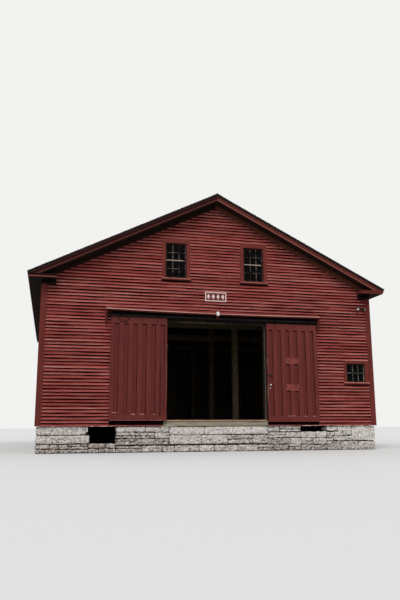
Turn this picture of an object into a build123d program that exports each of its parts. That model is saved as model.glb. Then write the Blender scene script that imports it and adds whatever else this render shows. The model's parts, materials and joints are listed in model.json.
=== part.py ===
from build123d import *
from math import atan, cos, degrees, radians, sin
import os

# A timber-framed red barn, seen gable end first, in millimetres.
# X runs along the gable front, Y runs back from it, Z is up.
# The origin is at the middle of the plan, at the lowest level where the foundation meets the ground.

# Plan of the boarded walls
barn_width = 10950.0
barn_length = 14630.0
board_wall = 60.0
bay_count = 4

# Heights: the foundation's from its lowest level, the others from the floor
foundation_height = 780.0
eave_above_floor = 4391.0
doorway_height = 3050.0

# Roof
roof_rise_per_run = 0.5
eave_overhang = 428.0
rake_overhang = 339.0
roof_thickness = 60.0
ridge_cap_leg = 150.0
ridge_cap_thickness = 5.0

# Foundation of split granite, with two low gaps that let air under the floor
stone_wall = 450.0
stone_setback = 20.0
left_gap_x = (-3930.0, -3120.0)
left_gap_height = 500.0
right_gap_x = (2810.0, 3710.0)
right_gap_height = 180.0
pier_size = 500.0

# Timber frame
timber = 200.0
sill_timber = 180.0
floor_boards = 60.0
girder_depth = 250.0
tie_depth = 250.0
tie_below_plate = 750.0
rafter_width = 75.0
rafter_depth = 150.0
rafter_seat_length = 80.0

# Trim boards
trim = 25.0
corner_board_front = 175.0
corner_board_side = 150.0
cornice_board = 22.0
cornice_depth = 100.0
soffit_below_tip = 151.0
frieze_width = 150.0
return_length = 843.0
rake_depth = 150.0
crown_drop = 70.0
crown_set = 26.0

# Doorway and sliding doors
door_opening = 3300.0
door_side_lap = 100.0
door_head_lap = 90.0
door_foot_lap = 15.0
door_back = 35.0
door_face = 25.0
door_wall_gap = 35.0
left_door_reveal = -40.0
right_door_reveal = 40.0
right_door_drop = 45.0
top_rail = 200.0
bottom_rail = 190.0
outer_stile = 120.0
door_strips = 6
strip_width = 135.0
raised_board = 150.0
block_height = 215.0
block_strips = (2, 3)
block_heights = (980.0, 1845.0)
threshold_board = 40.0
threshold_nose = 20.0

# Track, wheels and hangers
track_above_head = 120.0
track_depth = 50.0
track_plate = 8.0
wheel_groove_radius = 38.0
wheel_flange_radius = 45.0
wheel_width = 20.0
wheel_side_gap = 1.5
running_gap = 0.3
hanger_width = 60.0
hanger_plate = 6.0
hanger_lap = 150.0
hanger_inset = 300.0
axle_radius = 8.0
track_bracket_width = 50.0
track_bracket_count = 7

# Hood over the track
hood_end_room = 45.0
hood_above_track = 250.0
hood_drop = 80.0
hood_reach = 230.0
hood_board = 22.0
hood_fascia = 80.0
hood_bracket_width = 55.0
hood_bracket_foot = 60.0
hood_bracket_depth = 550.0

# Windows: the gable ones are double hung, the small ones are fixed
casing_proud = 25.0
frame_liner = 20.0
sash_depth = 35.0
sash_setback = 15.0
sash_stile = 45.0
glass_thickness = 4.0
sill_proud = 55.0
gable_window_x = 1315.0
gable_window_above_tip = 94.0
gable_sash_width = 700.0
gable_sash_height = 1170.0
gable_casing = 110.0
gable_head = 150.0
gable_sill = 85.0
small_window_from_corner = 623.0
small_window_above_floor = 1230.0
small_sash_width = 680.0
small_sash_height = 620.0
small_casing = 95.0
small_sill = 55.0

# Date board, lamp and floodlight
plaque_width = 710.0
plaque_height = 310.0
plaque_above_hood = 455.0
plaque_board = 18.0
plaque_rim = 45.0
plaque_rim_proud = 12.0
lamp_box = 90.0
lamp_box_depth = 55.0
lamp_head_radius = 28.0
lamp_head_length = 90.0
lamp_head_taper = 14.0
lamp_cleat_width = 45.0
lamp_cleat_drop = 130.0
flood_from_corner = 355.0
flood_below_soffit = 485.0
flood_spread = 112.0
flood_plate_radius = 55.0
flood_plate_depth = 50.0
flood_head_radius = 34.0
flood_head_length = 95.0
flood_head_taper = 10.0
flood_arm_radius = 14.0
flood_tilt_degrees = 35.0

# Values worked out from the driving ones
floor_height = foundation_height + sill_timber
eave_tip_height = floor_height + eave_above_floor
soffit_height = eave_tip_height - soffit_below_tip
door_head_height = floor_height + doorway_height
left_gap_sill = foundation_height - left_gap_height
right_gap_sill = foundation_height - right_gap_height
half_width = barn_width / 2
half_length = barn_length / 2
inner_half_width = half_width - board_wall
inner_half_length = half_length - board_wall
roof_half = half_width + eave_overhang
roof_half_length = half_length + rake_overhang
return_inner_x = roof_half - return_length
return_top = soffit_height + cornice_depth
crown_foot = soffit_height + cornice_board
frieze_bottom = soffit_height - frieze_width
slope = atan(roof_rise_per_run)
flood_tilt = radians(flood_tilt_degrees)
roof_plumb = roof_thickness / cos(slope)
ridge_height = eave_tip_height + roof_half * roof_rise_per_run
rafter_plumb = rafter_depth / cos(slope)
bay = (2 * inner_half_length - timber) / bay_count
bent_places = [-inner_half_length + timber / 2 + i * bay for i in range(bay_count + 1)]
rafter_places = [bent_places[0] + i * bay / 2 for i in range(2 * bay_count + 1)]
inner_post_x = door_opening / 2 + timber / 2
outer_post_x = inner_half_width - timber / 2
stone_half_width = half_width - stone_setback
stone_half_length = half_length - stone_setback


def deck_under(x):
    """Height of the roof deck's underside at a distance x from the middle."""
    return ridge_height - abs(x) * roof_rise_per_run - roof_plumb


def rafter_under(x):
    """Height of the rafters' underside at a distance x from the middle."""
    return deck_under(x) - rafter_plumb


# The plate's top is where a rafter's seat is as long as it should be.
plate_top = rafter_under(inner_half_width - rafter_seat_length)
plate_bottom = plate_top - timber
tie_bottom_height = plate_bottom - tie_below_plate
purlin_bottom = rafter_under(inner_post_x + timber / 2) - timber

os.makedirs("parts", exist_ok=True)


def keep(piece, name):
    """Labels a finished piece and writes it to its own file."""
    piece.part.label = name
    export_step(piece.part, f"parts/{name}.step")


def block(x, y, z):
    """A box between two limits on each axis, in the builder that is open."""
    with Locations(((x[0] + x[1]) / 2, (y[0] + y[1]) / 2, (z[0] + z[1]) / 2)):
        return Box(x[1] - x[0], y[1] - y[0], z[1] - z[0])


def wall_plane(side, along, height):
    """A plane on the outer face of a wall, with its normal outwards and its own y upwards."""
    places = {
        "front": ((along, -half_length, height), (1, 0, 0), (0, -1, 0)),
        "back": ((along, half_length, height), (-1, 0, 0), (0, 1, 0)),
        "left": ((-half_width, along, height), (0, -1, 0), (-1, 0, 0)),
        "right": ((half_width, along, height), (0, 1, 0), (1, 0, 0)),
    }
    origin, x_dir, z_dir = places[side]
    return Plane(origin=origin, x_dir=x_dir, z_dir=z_dir)


# Window places: side, distance along the wall, height of the sash's middle
gable_middle = eave_tip_height + gable_window_above_tip + gable_sash_height / 2
small_middle = floor_height + small_window_above_floor + small_sash_height / 2
small_window_x = half_width - small_window_from_corner
gable_windows = [(side, x, gable_middle) for side in ("front", "back") for x in (-gable_window_x, gable_window_x)]
side_window_places = (bent_places[0] + 1.5 * bay, bent_places[0] + 2.5 * bay)
small_windows = [("front", small_window_x, small_middle), ("back", small_window_x, small_middle)]
small_windows += [(side, y, small_middle) for side in ("left", "right") for y in side_window_places]


def cut_windows(side):
    """Cuts the windows of one side through the wall in the builder that is open."""
    kinds = (
        (gable_windows, gable_sash_width, gable_sash_height),
        (small_windows, small_sash_width, small_sash_height),
    )
    for windows, width, height in kinds:
        for where, along, middle in windows:
            if where == side:
                with BuildSketch(wall_plane(side, along, middle)) as hole:
                    Rectangle(width + 2 * frame_liner, height + 2 * frame_liner)
                extrude(hole.sketch, amount=-board_wall, mode=Mode.SUBTRACT)


# Foundation: walls in straight lengths, with the gaps between them
front_y = (-stone_half_length, -stone_half_length + stone_wall)
back_y = (stone_half_length - stone_wall, stone_half_length)
full_height = (0, foundation_height)

with BuildPart() as foundation_front:
    block((-stone_half_width, left_gap_x[0]), front_y, full_height)
    block((left_gap_x[1], right_gap_x[0]), front_y, full_height)
    block((right_gap_x[1], stone_half_width), front_y, full_height)
keep(foundation_front, "foundation_front")

with BuildPart() as foundation_gap_sills:
    block(left_gap_x, front_y, (0, left_gap_sill))
    block(right_gap_x, front_y, (0, right_gap_sill))
keep(foundation_gap_sills, "foundation_gap_sills")

with BuildPart() as foundation_back:
    block((-stone_half_width, stone_half_width), back_y, full_height)
keep(foundation_back, "foundation_back")

with BuildPart() as foundation_sides:
    for side in (-1, 1):
        outer, inner = side * stone_half_width, side * (stone_half_width - stone_wall)
        block(sorted((outer, inner)), (front_y[1], back_y[0]), full_height)
keep(foundation_sides, "foundation_sides")

girder_top = floor_height - floor_boards
girder_bottom = girder_top - girder_depth
with BuildPart() as inner_piers:
    for x in (-inner_post_x, inner_post_x):
        for y in bent_places[1:-1]:
            block((x - pier_size / 2, x + pier_size / 2), (y - pier_size / 2, y + pier_size / 2), (0, girder_bottom))
keep(inner_piers, "inner_piers")

# Floor framing, sills and floor
with BuildPart() as floor_girders:
    for x in (-inner_post_x, inner_post_x):
        block((x - timber / 2, x + timber / 2), (front_y[1], back_y[0]), (girder_bottom, girder_top))
keep(floor_girders, "floor_girders")

sill_z = (foundation_height, foundation_height + sill_timber)
sill_y = inner_half_length - timber
with BuildPart() as end_sills:
    block((-inner_half_width, inner_half_width), (-inner_half_length, -sill_y), sill_z)
    with Locations((0, -inner_half_length + timber / 2, floor_height - threshold_board / 2)):
        Box(door_opening, timber, threshold_board, mode=Mode.SUBTRACT)
    block((-inner_half_width, inner_half_width), (sill_y, inner_half_length), sill_z)
keep(end_sills, "end_sills")

with BuildPart() as side_sills:
    for x in (-outer_post_x, outer_post_x):
        block((x - timber / 2, x + timber / 2), (-sill_y, sill_y), sill_z)
keep(side_sills, "side_sills")

with BuildPart() as floor:
    deck_half = inner_half_width - timber
    block((-deck_half, deck_half), (-sill_y, sill_y), (girder_top, floor_height))
keep(floor, "floor")

with BuildPart() as threshold:
    threshold_y = (-half_length - threshold_nose, -sill_y)
    block((-door_opening / 2, door_opening / 2), threshold_y, (floor_height - threshold_board, floor_height))
    fillet(threshold.edges().filter_by(Axis.X).group_by(Axis.Y)[0], radius=threshold_board / 4)
keep(threshold, "threshold")

with BuildPart() as threshold_riser:
    riser_z = (foundation_height, floor_height - threshold_board)
    block((-door_opening / 2, door_opening / 2), (-half_length, -inner_half_length), riser_z)
keep(threshold_riser, "threshold_riser")

# Timber frame: posts, ties, plates, purlins and rafters
with BuildPart() as outer_posts:
    for x in (-outer_post_x, outer_post_x):
        for y in bent_places:
            block((x - timber / 2, x + timber / 2), (y - timber / 2, y + timber / 2), (sill_z[1], plate_bottom))
keep(outer_posts, "outer_posts")

with BuildPart() as inner_posts:
    for x in (-inner_post_x, inner_post_x):
        for y in bent_places:
            block((x - timber / 2, x + timber / 2), (y - timber / 2, y + timber / 2), (floor_height, purlin_bottom))
keep(inner_posts, "inner_posts")

with BuildPart() as tie_beams:
    aisle = (inner_post_x + timber / 2, outer_post_x - timber / 2)
    spans = ((-aisle[1], -aisle[0]), (-inner_post_x + timber / 2, inner_post_x - timber / 2), aisle)
    for span in spans:
        for y in bent_places:
            block(span, (y - timber / 2, y + timber / 2), (tie_bottom_height, tie_bottom_height + tie_depth))
keep(tie_beams, "tie_beams")

with BuildPart() as wall_plates:
    for x in (-outer_post_x, outer_post_x):
        plate_y = (-inner_half_length, inner_half_length)
        block((x - timber / 2, x + timber / 2), plate_y, (plate_bottom, plate_top))
keep(wall_plates, "wall_plates")

with BuildPart() as purlins:
    with BuildSketch(Plane.XZ.offset(-inner_half_length)):
        with BuildLine():
            inner_x, outer_x = inner_post_x - timber / 2, inner_post_x + timber / 2
            Polyline(
                (inner_x, purlin_bottom),
                (outer_x, purlin_bottom),
                (outer_x, rafter_under(outer_x)),
                (inner_x, rafter_under(inner_x)),
                close=True,
            )
        make_face()
        mirror(about=Plane.YZ)
    extrude(amount=2 * inner_half_length)
keep(purlins, "purlins")

for side, name in ((-1, "rafters_left"), (1, "rafters_right")):
    seat_x = inner_half_width - rafter_seat_length
    with BuildPart() as rafters:
        for y in rafter_places:
            with BuildSketch(Plane.XZ.offset(-y - rafter_width / 2)):
                with BuildLine():
                    Polyline(
                        (0, deck_under(0)),
                        (side * inner_half_width, deck_under(inner_half_width)),
                        (side * inner_half_width, plate_top),
                        (side * seat_x, plate_top),
                        (0, rafter_under(0)),
                        close=True,
                    )
                make_face()
            extrude(amount=rafter_width)
    keep(rafters, name)

# Boarded walls. The front is in three pieces around the doorway.
wall_z = (foundation_height, door_head_height)
front_boards = (-half_length, -inner_half_length)
with BuildPart() as front_wall_left:
    block((-half_width, -door_opening / 2), front_boards, wall_z)
keep(front_wall_left, "front_wall_left")

with BuildPart() as front_wall_right:
    block((door_opening / 2, half_width), front_boards, wall_z)
    cut_windows("front")
keep(front_wall_right, "front_wall_right")


def gable_points(bottom):
    """The corners of a gable wall from a given height up to the roof deck."""
    return (
        (-half_width, bottom),
        (half_width, bottom),
        (half_width, deck_under(half_width)),
        (0, deck_under(0)),
        (-half_width, deck_under(half_width)),
    )


with BuildPart() as front_gable:
    with BuildSketch(Plane.XZ.offset(half_length)):
        with BuildLine():
            Polyline(*gable_points(door_head_height), close=True)
        make_face()
    extrude(amount=-board_wall)
    cut_windows("front")
keep(front_gable, "front_gable")

with BuildPart() as back_wall:
    with BuildSketch(Plane.XZ.offset(-inner_half_length)):
        with BuildLine():
            Polyline(*gable_points(foundation_height), close=True)
        make_face()
    extrude(amount=-board_wall)
    cut_windows("back")
keep(back_wall, "back_wall")

with BuildPart() as side_walls:
    with BuildSketch(Plane.XZ.offset(-inner_half_length)):
        with BuildLine():
            Polyline(
                (half_width, foundation_height),
                (half_width, deck_under(half_width)),
                (inner_half_width, deck_under(inner_half_width)),
                (inner_half_width, foundation_height),
                close=True,
            )
        make_face()
        mirror(about=Plane.YZ)
    extrude(amount=2 * inner_half_length)
    cut_windows("left")
    cut_windows("right")
keep(side_walls, "side_walls")

# Corner boards, an angle of two boards on each corner
with BuildPart() as corner_boards:
    with BuildSketch(Plane.XY.offset(foundation_height)):
        with BuildLine():
            corner_x, corner_y = half_width + trim, half_length + trim
            Polyline(
                (corner_x, corner_y),
                (corner_x - corner_board_front, corner_y),
                (corner_x - corner_board_front, half_length),
                (half_width, half_length),
                (half_width, corner_y - corner_board_side),
                (corner_x, corner_y - corner_board_side),
                close=True,
            )
        make_face()
        mirror(about=Plane.YZ)
        mirror(about=Plane.XZ)
    extrude(amount=frieze_bottom - foundation_height)
keep(corner_boards, "corner_boards")

# Roof slabs of boards and shingles, and the folded ridge cap
for side, name in ((-1, "roof_left"), (1, "roof_right")):
    with BuildPart() as roof:
        with BuildSketch(Plane.XZ.offset(-roof_half_length)):
            with BuildLine():
                Polyline(
                    (0, ridge_height),
                    (side * roof_half, eave_tip_height),
                    (side * roof_half, eave_tip_height - roof_plumb),
                    (0, ridge_height - roof_plumb),
                    close=True,
                )
            make_face()
        extrude(amount=2 * roof_half_length)
    keep(roof, name)

with BuildPart() as ridge_cap:
    cap_x = ridge_cap_leg * cos(slope)
    cap_plumb = ridge_cap_thickness / cos(slope)
    with BuildSketch(Plane.XZ.offset(-roof_half_length)):
        with BuildLine():
            Polyline(
                (0, ridge_height),
                (cap_x, ridge_height - cap_x * roof_rise_per_run),
                (cap_x, ridge_height - cap_x * roof_rise_per_run + cap_plumb),
                (0, ridge_height + cap_plumb),
                (-cap_x, ridge_height - cap_x * roof_rise_per_run + cap_plumb),
                (-cap_x, ridge_height - cap_x * roof_rise_per_run),
                close=True,
            )
        make_face()
    extrude(amount=2 * roof_half_length)
keep(ridge_cap, "ridge_cap")

# Cornice. One crown moulding is used along the eaves, on the returns and up the rakes.
def crown(tip, lip_level, foot_level):
    """The crown moulding's two arcs from its lip, at the tip, in to its foot."""
    foot = (tip - crown_set, foot_level)
    waist = (tip - crown_set / 2, (lip_level + foot_level) / 2)
    TangentArc((tip, lip_level), waist, tangent=(0, foot_level - lip_level))
    TangentArc(foot, waist, tangent=(0, lip_level - foot_level))
    return foot


with BuildPart() as eave_cornices:
    fascia_back = roof_half - crown_set - cornice_board
    with BuildSketch(Plane.XZ.offset(-half_length)):
        with BuildLine():
            foot = crown(roof_half, deck_under(roof_half), crown_foot)
            Polyline(
                foot,
                (foot[0], soffit_height),
                (half_width + cornice_board, soffit_height),
                (half_width + cornice_board, frieze_bottom),
                (half_width, frieze_bottom),
                (half_width, soffit_height + cornice_board),
                (fascia_back, soffit_height + cornice_board),
                (fascia_back, deck_under(fascia_back)),
                (roof_half, deck_under(roof_half)),
            )
        make_face()
    extrude(amount=2 * half_length)
    mirror(about=Plane.YZ)
keep(eave_cornices, "eave_cornices")

# The returns turn the eave cornice round each corner on to the gable, and end square.
with BuildPart() as cornice_returns:
    with BuildSketch(Plane.YZ.offset(return_inner_x)):
        with BuildLine():
            foot = crown(roof_half_length, return_top, crown_foot)
            Polyline(
                foot,
                (foot[0], soffit_height),
                (half_length + cornice_board, soffit_height),
                (half_length + cornice_board, frieze_bottom),
                (half_length, frieze_bottom),
                (half_length, return_top),
                (roof_half_length, return_top),
            )
        make_face()
    extrude(amount=return_length)
    with BuildSketch(Plane.XZ.offset(-half_length)):
        with BuildLine():
            foot = crown(roof_half, deck_under(roof_half), crown_foot)
            Polyline(
                foot,
                (foot[0], soffit_height),
                (half_width + cornice_board, soffit_height),
                (half_width + cornice_board, frieze_bottom),
                (return_inner_x, frieze_bottom),
                (return_inner_x, return_top),
                (roof_half - (return_top - deck_under(roof_half)) / roof_rise_per_run, return_top),
                (roof_half, deck_under(roof_half)),
            )
        make_face()
    extrude(amount=-rake_overhang, mode=Mode.INTERSECT)
    mirror(about=Plane.YZ)
    mirror(about=Plane.XZ)
keep(cornice_returns, "cornice_returns")

# The rake section stands square to the slope, with its second axis down from the roof deck.
# It is made too long at both ends, then cut plumb at the ridge and level on the return.
rake_spare = 4 * rake_depth
down_slope = Vector(cos(slope), 0, -sin(slope))
rake_start = Vector(0, 0, deck_under(0)) - down_slope * rake_spare
for side, name in ((-1, "rakes_left"), (1, "rakes_right")):
    with BuildPart() as rakes:
        with BuildSketch(Plane(origin=rake_start, x_dir=(0, 1, 0), z_dir=-down_slope)):
            with BuildLine():
                fascia_back = roof_half_length - crown_set - cornice_board
                foot = crown(roof_half_length, 0, crown_drop)
                Polyline(
                    foot,
                    (foot[0], rake_depth),
                    (half_length + cornice_board, rake_depth),
                    (half_length + cornice_board, rake_depth + frieze_width),
                    (half_length, rake_depth + frieze_width),
                    (half_length, rake_depth - cornice_board),
                    (fascia_back, rake_depth - cornice_board),
                    (fascia_back, 0),
                    (roof_half_length, 0),
                )
            make_face()
        extrude(amount=-(roof_half / cos(slope) + 2 * rake_spare))
        with BuildSketch(Plane.XZ.offset(-half_length)):
            with Locations((roof_half / 2, (return_top + ridge_height) / 2)):
                Rectangle(roof_half, ridge_height - return_top)
        extrude(amount=-rake_overhang, mode=Mode.INTERSECT)
        if side < 0:
            mirror(about=Plane.YZ, mode=Mode.REPLACE)
        mirror(about=Plane.XZ)
    keep(rakes, name)

# Door leaves, parked, and the track they hang from
left_door_bottom = floor_height - door_foot_lap
right_door_bottom = left_door_bottom - right_door_drop
door_height = doorway_height + door_head_lap + door_foot_lap
door_width = door_opening / 2 + door_side_lap
left_door_inner_edge = door_opening / 2 + left_door_reveal
right_door_inner_edge = door_opening / 2 + right_door_reveal
left_door_outer = -left_door_inner_edge - door_width
right_door_outer = right_door_inner_edge + door_width
track_height = door_head_height + track_above_head
track_top = track_height + track_depth

# Hood over the track: a sloping board and a fascia, a bracket at each end, and a cleat for the lamp
hood_half_length = max(-left_door_outer, right_door_outer) + hood_end_room + hood_bracket_width
hood_wall_height = track_top + hood_above_track
hood_front_height = hood_wall_height - hood_drop
hood_front = -half_length - hood_reach
inside_front = hood_front + hood_board
under_front = hood_front_height - hood_board
fascia_bottom = hood_front_height - hood_fascia
with BuildPart() as door_hood:
    with BuildSketch(Plane.YZ.offset(-hood_half_length)):
        with BuildLine():
            Polyline(
                (-half_length, hood_wall_height),
                (hood_front, hood_front_height),
                (hood_front, under_front),
                (-half_length, hood_wall_height - hood_board),
                close=True,
            )
        make_face()
    extrude(amount=2 * hood_half_length)
keep(door_hood, "door_hood")

with BuildPart() as hood_fascia_board:
    fascia_top = under_front + hood_board * hood_drop / hood_reach
    with BuildSketch(Plane.YZ.offset(-hood_half_length)):
        with BuildLine():
            Polyline(
                (hood_front, under_front),
                (inside_front, fascia_top),
                (inside_front, fascia_bottom),
                (hood_front, fascia_bottom),
                close=True,
            )
        make_face()
    extrude(amount=2 * hood_half_length)
keep(hood_fascia_board, "hood_fascia")

with BuildPart() as hood_brackets:
    for x in (-hood_half_length, hood_half_length - hood_bracket_width):
        with BuildSketch(Plane.YZ.offset(x)):
            with BuildLine():
                Polyline(
                    (-half_length, hood_wall_height - hood_board),
                    (inside_front, fascia_top),
                    (inside_front, fascia_bottom),
                    (-half_length - hood_bracket_foot, hood_wall_height - hood_bracket_depth),
                    (-half_length, hood_wall_height - hood_bracket_depth),
                    close=True,
                )
            make_face()
        extrude(amount=hood_bracket_width)
    block(
        (-lamp_cleat_width / 2, lamp_cleat_width / 2),
        (inside_front, inside_front + hood_board),
        (fascia_bottom - lamp_cleat_drop, under_front),
    )
keep(hood_brackets, "hood_brackets")

# Track: a steel bar on edge, held off the wall by brackets
door_front = -half_length - door_wall_gap - door_back - door_face
door_middle = (door_front - half_length - door_wall_gap) / 2
track_end = hood_half_length - hood_bracket_width
track_y = (door_middle - track_plate / 2, door_middle + track_plate / 2)
with BuildPart() as door_track:
    block((-track_end, track_end), track_y, (track_height, track_top))
keep(door_track, "door_track")

with BuildPart() as track_brackets:
    spacing = (2 * track_end - track_bracket_width) / (track_bracket_count - 1)
    for i in range(track_bracket_count):
        x = -track_end + i * spacing
        block((x, x + track_bracket_width), (track_y[1], -half_length), (track_height, track_height + track_depth / 2))
keep(track_brackets, "track_brackets")


# Doors. The face layer is cut away over the recessed strips, and blocks cross two of them.
def door(outer_x, direction, bottom, blocks):
    """A door leaf from its outer edge, with its strips counted from the outer stile."""
    far_x = outer_x + direction * door_width
    back_y = -half_length - door_wall_gap
    block(sorted((outer_x, far_x)), (door_front, back_y), (bottom, bottom + door_height))
    strip_bottom, strip_top = bottom + bottom_rail, bottom + door_height - top_rail
    for i in range(door_strips):
        start = outer_x + direction * (outer_stile + i * (strip_width + raised_board))
        middle_x = start + direction * strip_width / 2
        lengths = [(strip_bottom, strip_top)]
        if blocks and i in block_strips:
            edges = [strip_bottom]
            for low in block_heights:
                edges += [bottom + low, bottom + low + block_height]
            edges.append(strip_top)
            lengths = list(zip(edges[0::2], edges[1::2]))
        for low, high in lengths:
            with Locations((middle_x, door_front + door_face / 2, (low + high) / 2)):
                Box(strip_width, door_face, high - low, mode=Mode.SUBTRACT)


with BuildPart() as door_left:
    door(left_door_outer, 1, left_door_bottom, blocks=False)
keep(door_left, "door_left")

with BuildPart() as door_right:
    door(right_door_outer, -1, right_door_bottom, blocks=True)
keep(door_right, "door_right")


# Hangers: a strap on the door's face, an axle, and a grooved wheel on the track
wheel_middle = track_top + running_gap + wheel_groove_radius


def hanger(x, door_top):
    """One hanger with its wheel, centred on x."""
    strap_bottom = door_top - hanger_lap
    with BuildSketch(Plane.XZ.offset(-door_front)) as strap:
        with Locations((x, (strap_bottom + wheel_middle) / 2)):
            SlotCenterToCenter(wheel_middle - strap_bottom, hanger_width, rotation=90)
    extrude(strap.sketch, amount=hanger_plate)
    with BuildSketch(Plane.XZ.offset(-door_middle)) as axle:
        with Locations((x, wheel_middle)):
            Circle(axle_radius)
    extrude(axle.sketch, amount=door_middle - door_front)
    half_groove = track_plate / 2 + wheel_side_gap
    with BuildSketch(Plane(origin=(x, door_middle, wheel_middle), x_dir=(0, 1, 0), z_dir=(1, 0, 0))) as wheel:
        with BuildLine():
            Polyline(
                (-wheel_width / 2, 0),
                (wheel_width / 2, 0),
                (wheel_width / 2, wheel_flange_radius),
                (half_groove, wheel_flange_radius),
                (half_groove, wheel_groove_radius),
                (-half_groove, wheel_groove_radius),
                (-half_groove, wheel_flange_radius),
                (-wheel_width / 2, wheel_flange_radius),
                close=True,
            )
        make_face()
    revolve(wheel.sketch, axis=Axis((x, door_middle, wheel_middle), (0, 1, 0)))


with BuildPart() as door_left_hangers:
    for x in (left_door_outer + hanger_inset, -left_door_inner_edge - hanger_inset):
        hanger(x, left_door_bottom + door_height)
keep(door_left_hangers, "door_left_hangers")

with BuildPart() as door_right_hangers:
    for x in (right_door_inner_edge + hanger_inset, right_door_outer - hanger_inset):
        hanger(x, right_door_bottom + door_height)
keep(door_right_hangers, "door_right_hangers")


# Windows: casing and sill outside the wall, liner through it, sash and glass inside the liner
def window_frame(plane, width, height, casing, head, sill):
    """Casing boards, liner and sill of one window in the builder that is open."""
    with BuildSketch(plane) as boards:
        with Locations((0, (head - sill) / 2)):
            Rectangle(width + 2 * casing, height + head + sill)
        Rectangle(width, height, mode=Mode.SUBTRACT)
    extrude(boards.sketch, amount=casing_proud)
    with BuildSketch(plane) as liner:
        Rectangle(width + 2 * frame_liner, height + 2 * frame_liner)
        Rectangle(width, height, mode=Mode.SUBTRACT)
    extrude(liner.sketch, amount=-board_wall)
    with BuildSketch(plane) as sill_board:
        with Locations((0, -(height + sill) / 2)):
            Rectangle(width + 2 * casing + 2 * casing_proud, sill)
    extrude(sill_board.sketch, amount=sill_proud)


def window_sash(plane, width, height, meeting_rail):
    """The sash's stiles and rails inside the liner."""
    with BuildSketch(plane.offset(-sash_setback)) as sash:
        Rectangle(width, height)
        Rectangle(width - 2 * sash_stile, height - 2 * sash_stile, mode=Mode.SUBTRACT)
        if meeting_rail:
            Rectangle(width, sash_stile)
    extrude(sash.sketch, amount=-sash_depth)


def window_glass(plane, width, height, meeting_rail):
    """The panes of glass inside the sash."""
    with BuildSketch(plane.offset(-sash_setback - (sash_depth - glass_thickness) / 2)) as panes:
        Rectangle(width - 2 * sash_stile, height - 2 * sash_stile)
        if meeting_rail:
            Rectangle(width, sash_stile, mode=Mode.SUBTRACT)
    extrude(panes.sketch, amount=-glass_thickness)


gable_planes = [wall_plane(*place) for place in gable_windows]
small_planes = [wall_plane(*place) for place in small_windows]

with BuildPart() as window_frames:
    for plane in gable_planes:
        window_frame(plane, gable_sash_width, gable_sash_height, gable_casing, gable_head, gable_sill)
    for plane in small_planes:
        window_frame(plane, small_sash_width, small_sash_height, small_casing, small_casing, small_sill)
keep(window_frames, "window_frames")

with BuildPart() as window_sashes:
    for plane in gable_planes:
        window_sash(plane, gable_sash_width, gable_sash_height, True)
    for plane in small_planes:
        window_sash(plane, small_sash_width, small_sash_height, False)
keep(window_sashes, "window_sashes")

with BuildPart() as window_panes:
    for plane in gable_planes:
        window_glass(plane, gable_sash_width, gable_sash_height, True)
    for plane in small_planes:
        window_glass(plane, small_sash_width, small_sash_height, False)
keep(window_panes, "window_glass")

# Date board on the gable, left plain
plaque_centre_height = hood_wall_height + plaque_above_hood
with BuildPart() as date_board:
    with BuildSketch(wall_plane("front", 0, plaque_centre_height)):
        Rectangle(plaque_width, plaque_height)
    extrude(amount=plaque_board)
    with BuildSketch(wall_plane("front", 0, plaque_centre_height).offset(plaque_board)):
        Rectangle(plaque_width, plaque_height)
        Rectangle(plaque_width - 2 * plaque_rim, plaque_height - 2 * plaque_rim, mode=Mode.SUBTRACT)
    extrude(amount=plaque_rim_proud)
keep(date_board, "date_board")

# Lamp on the hood's fascia
with BuildPart() as hood_lamp:
    lamp_middle = hood_front_height - hood_fascia / 2
    with BuildSketch(Plane(origin=(0, hood_front, lamp_middle), x_dir=(1, 0, 0), z_dir=(0, -1, 0))):
        RectangleRounded(lamp_box, hood_fascia, radius=hood_fascia / 5)
    extrude(amount=lamp_box_depth)
    lamp_y = hood_front - lamp_box_depth
    with BuildSketch(Plane.XY.offset(lamp_middle)):
        with Locations((0, lamp_y)):
            Circle(lamp_head_radius)
    extrude(amount=-lamp_head_length, taper=-lamp_head_taper)
keep(hood_lamp, "hood_lamp")

# Twin floodlight near the right-hand corner: a round plate, and two heads on short arms
flood_x = half_width - flood_from_corner
flood_height = soffit_height - flood_below_soffit
with BuildPart() as floodlight:
    with BuildSketch(wall_plane("front", flood_x, flood_height)):
        Circle(flood_plate_radius)
    extrude(amount=flood_plate_depth)
    plate_face = -half_length - flood_plate_depth
    for x in (-flood_spread, flood_spread):
        head = (flood_x + x, plate_face, flood_height)
        with BuildSketch(Plane(origin=(flood_x, plate_face, flood_height), x_dir=(0, 1, 0), z_dir=(1, 0, 0))):
            Circle(flood_arm_radius)
        extrude(amount=x)
        aim = (0, -cos(flood_tilt), -sin(flood_tilt))
        with BuildSketch(Plane(origin=head, x_dir=(1, 0, 0), z_dir=aim).offset(-flood_arm_radius)):
            Circle(flood_head_radius)
        extrude(amount=flood_head_length, taper=-flood_head_taper)
keep(floodlight, "floodlight")

print("ridge height", round(ridge_height), "roof slope", round(degrees(slope), 1), "degrees")
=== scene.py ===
# %% [markdown]
# A red timber barn, seen gable end first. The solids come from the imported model, and this lesson
# dresses them: clapboards, shingles, split granite, window bars, door furniture and weathered paint.
# Everything is in metres in the model's own frame, so a board goes where the model's box says.

# %% Load the model
import bmesh
import bpy
import json
import random
from functools import partial
from math import atan, cos, radians, sin
from mathutils import Matrix, Vector


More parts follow.
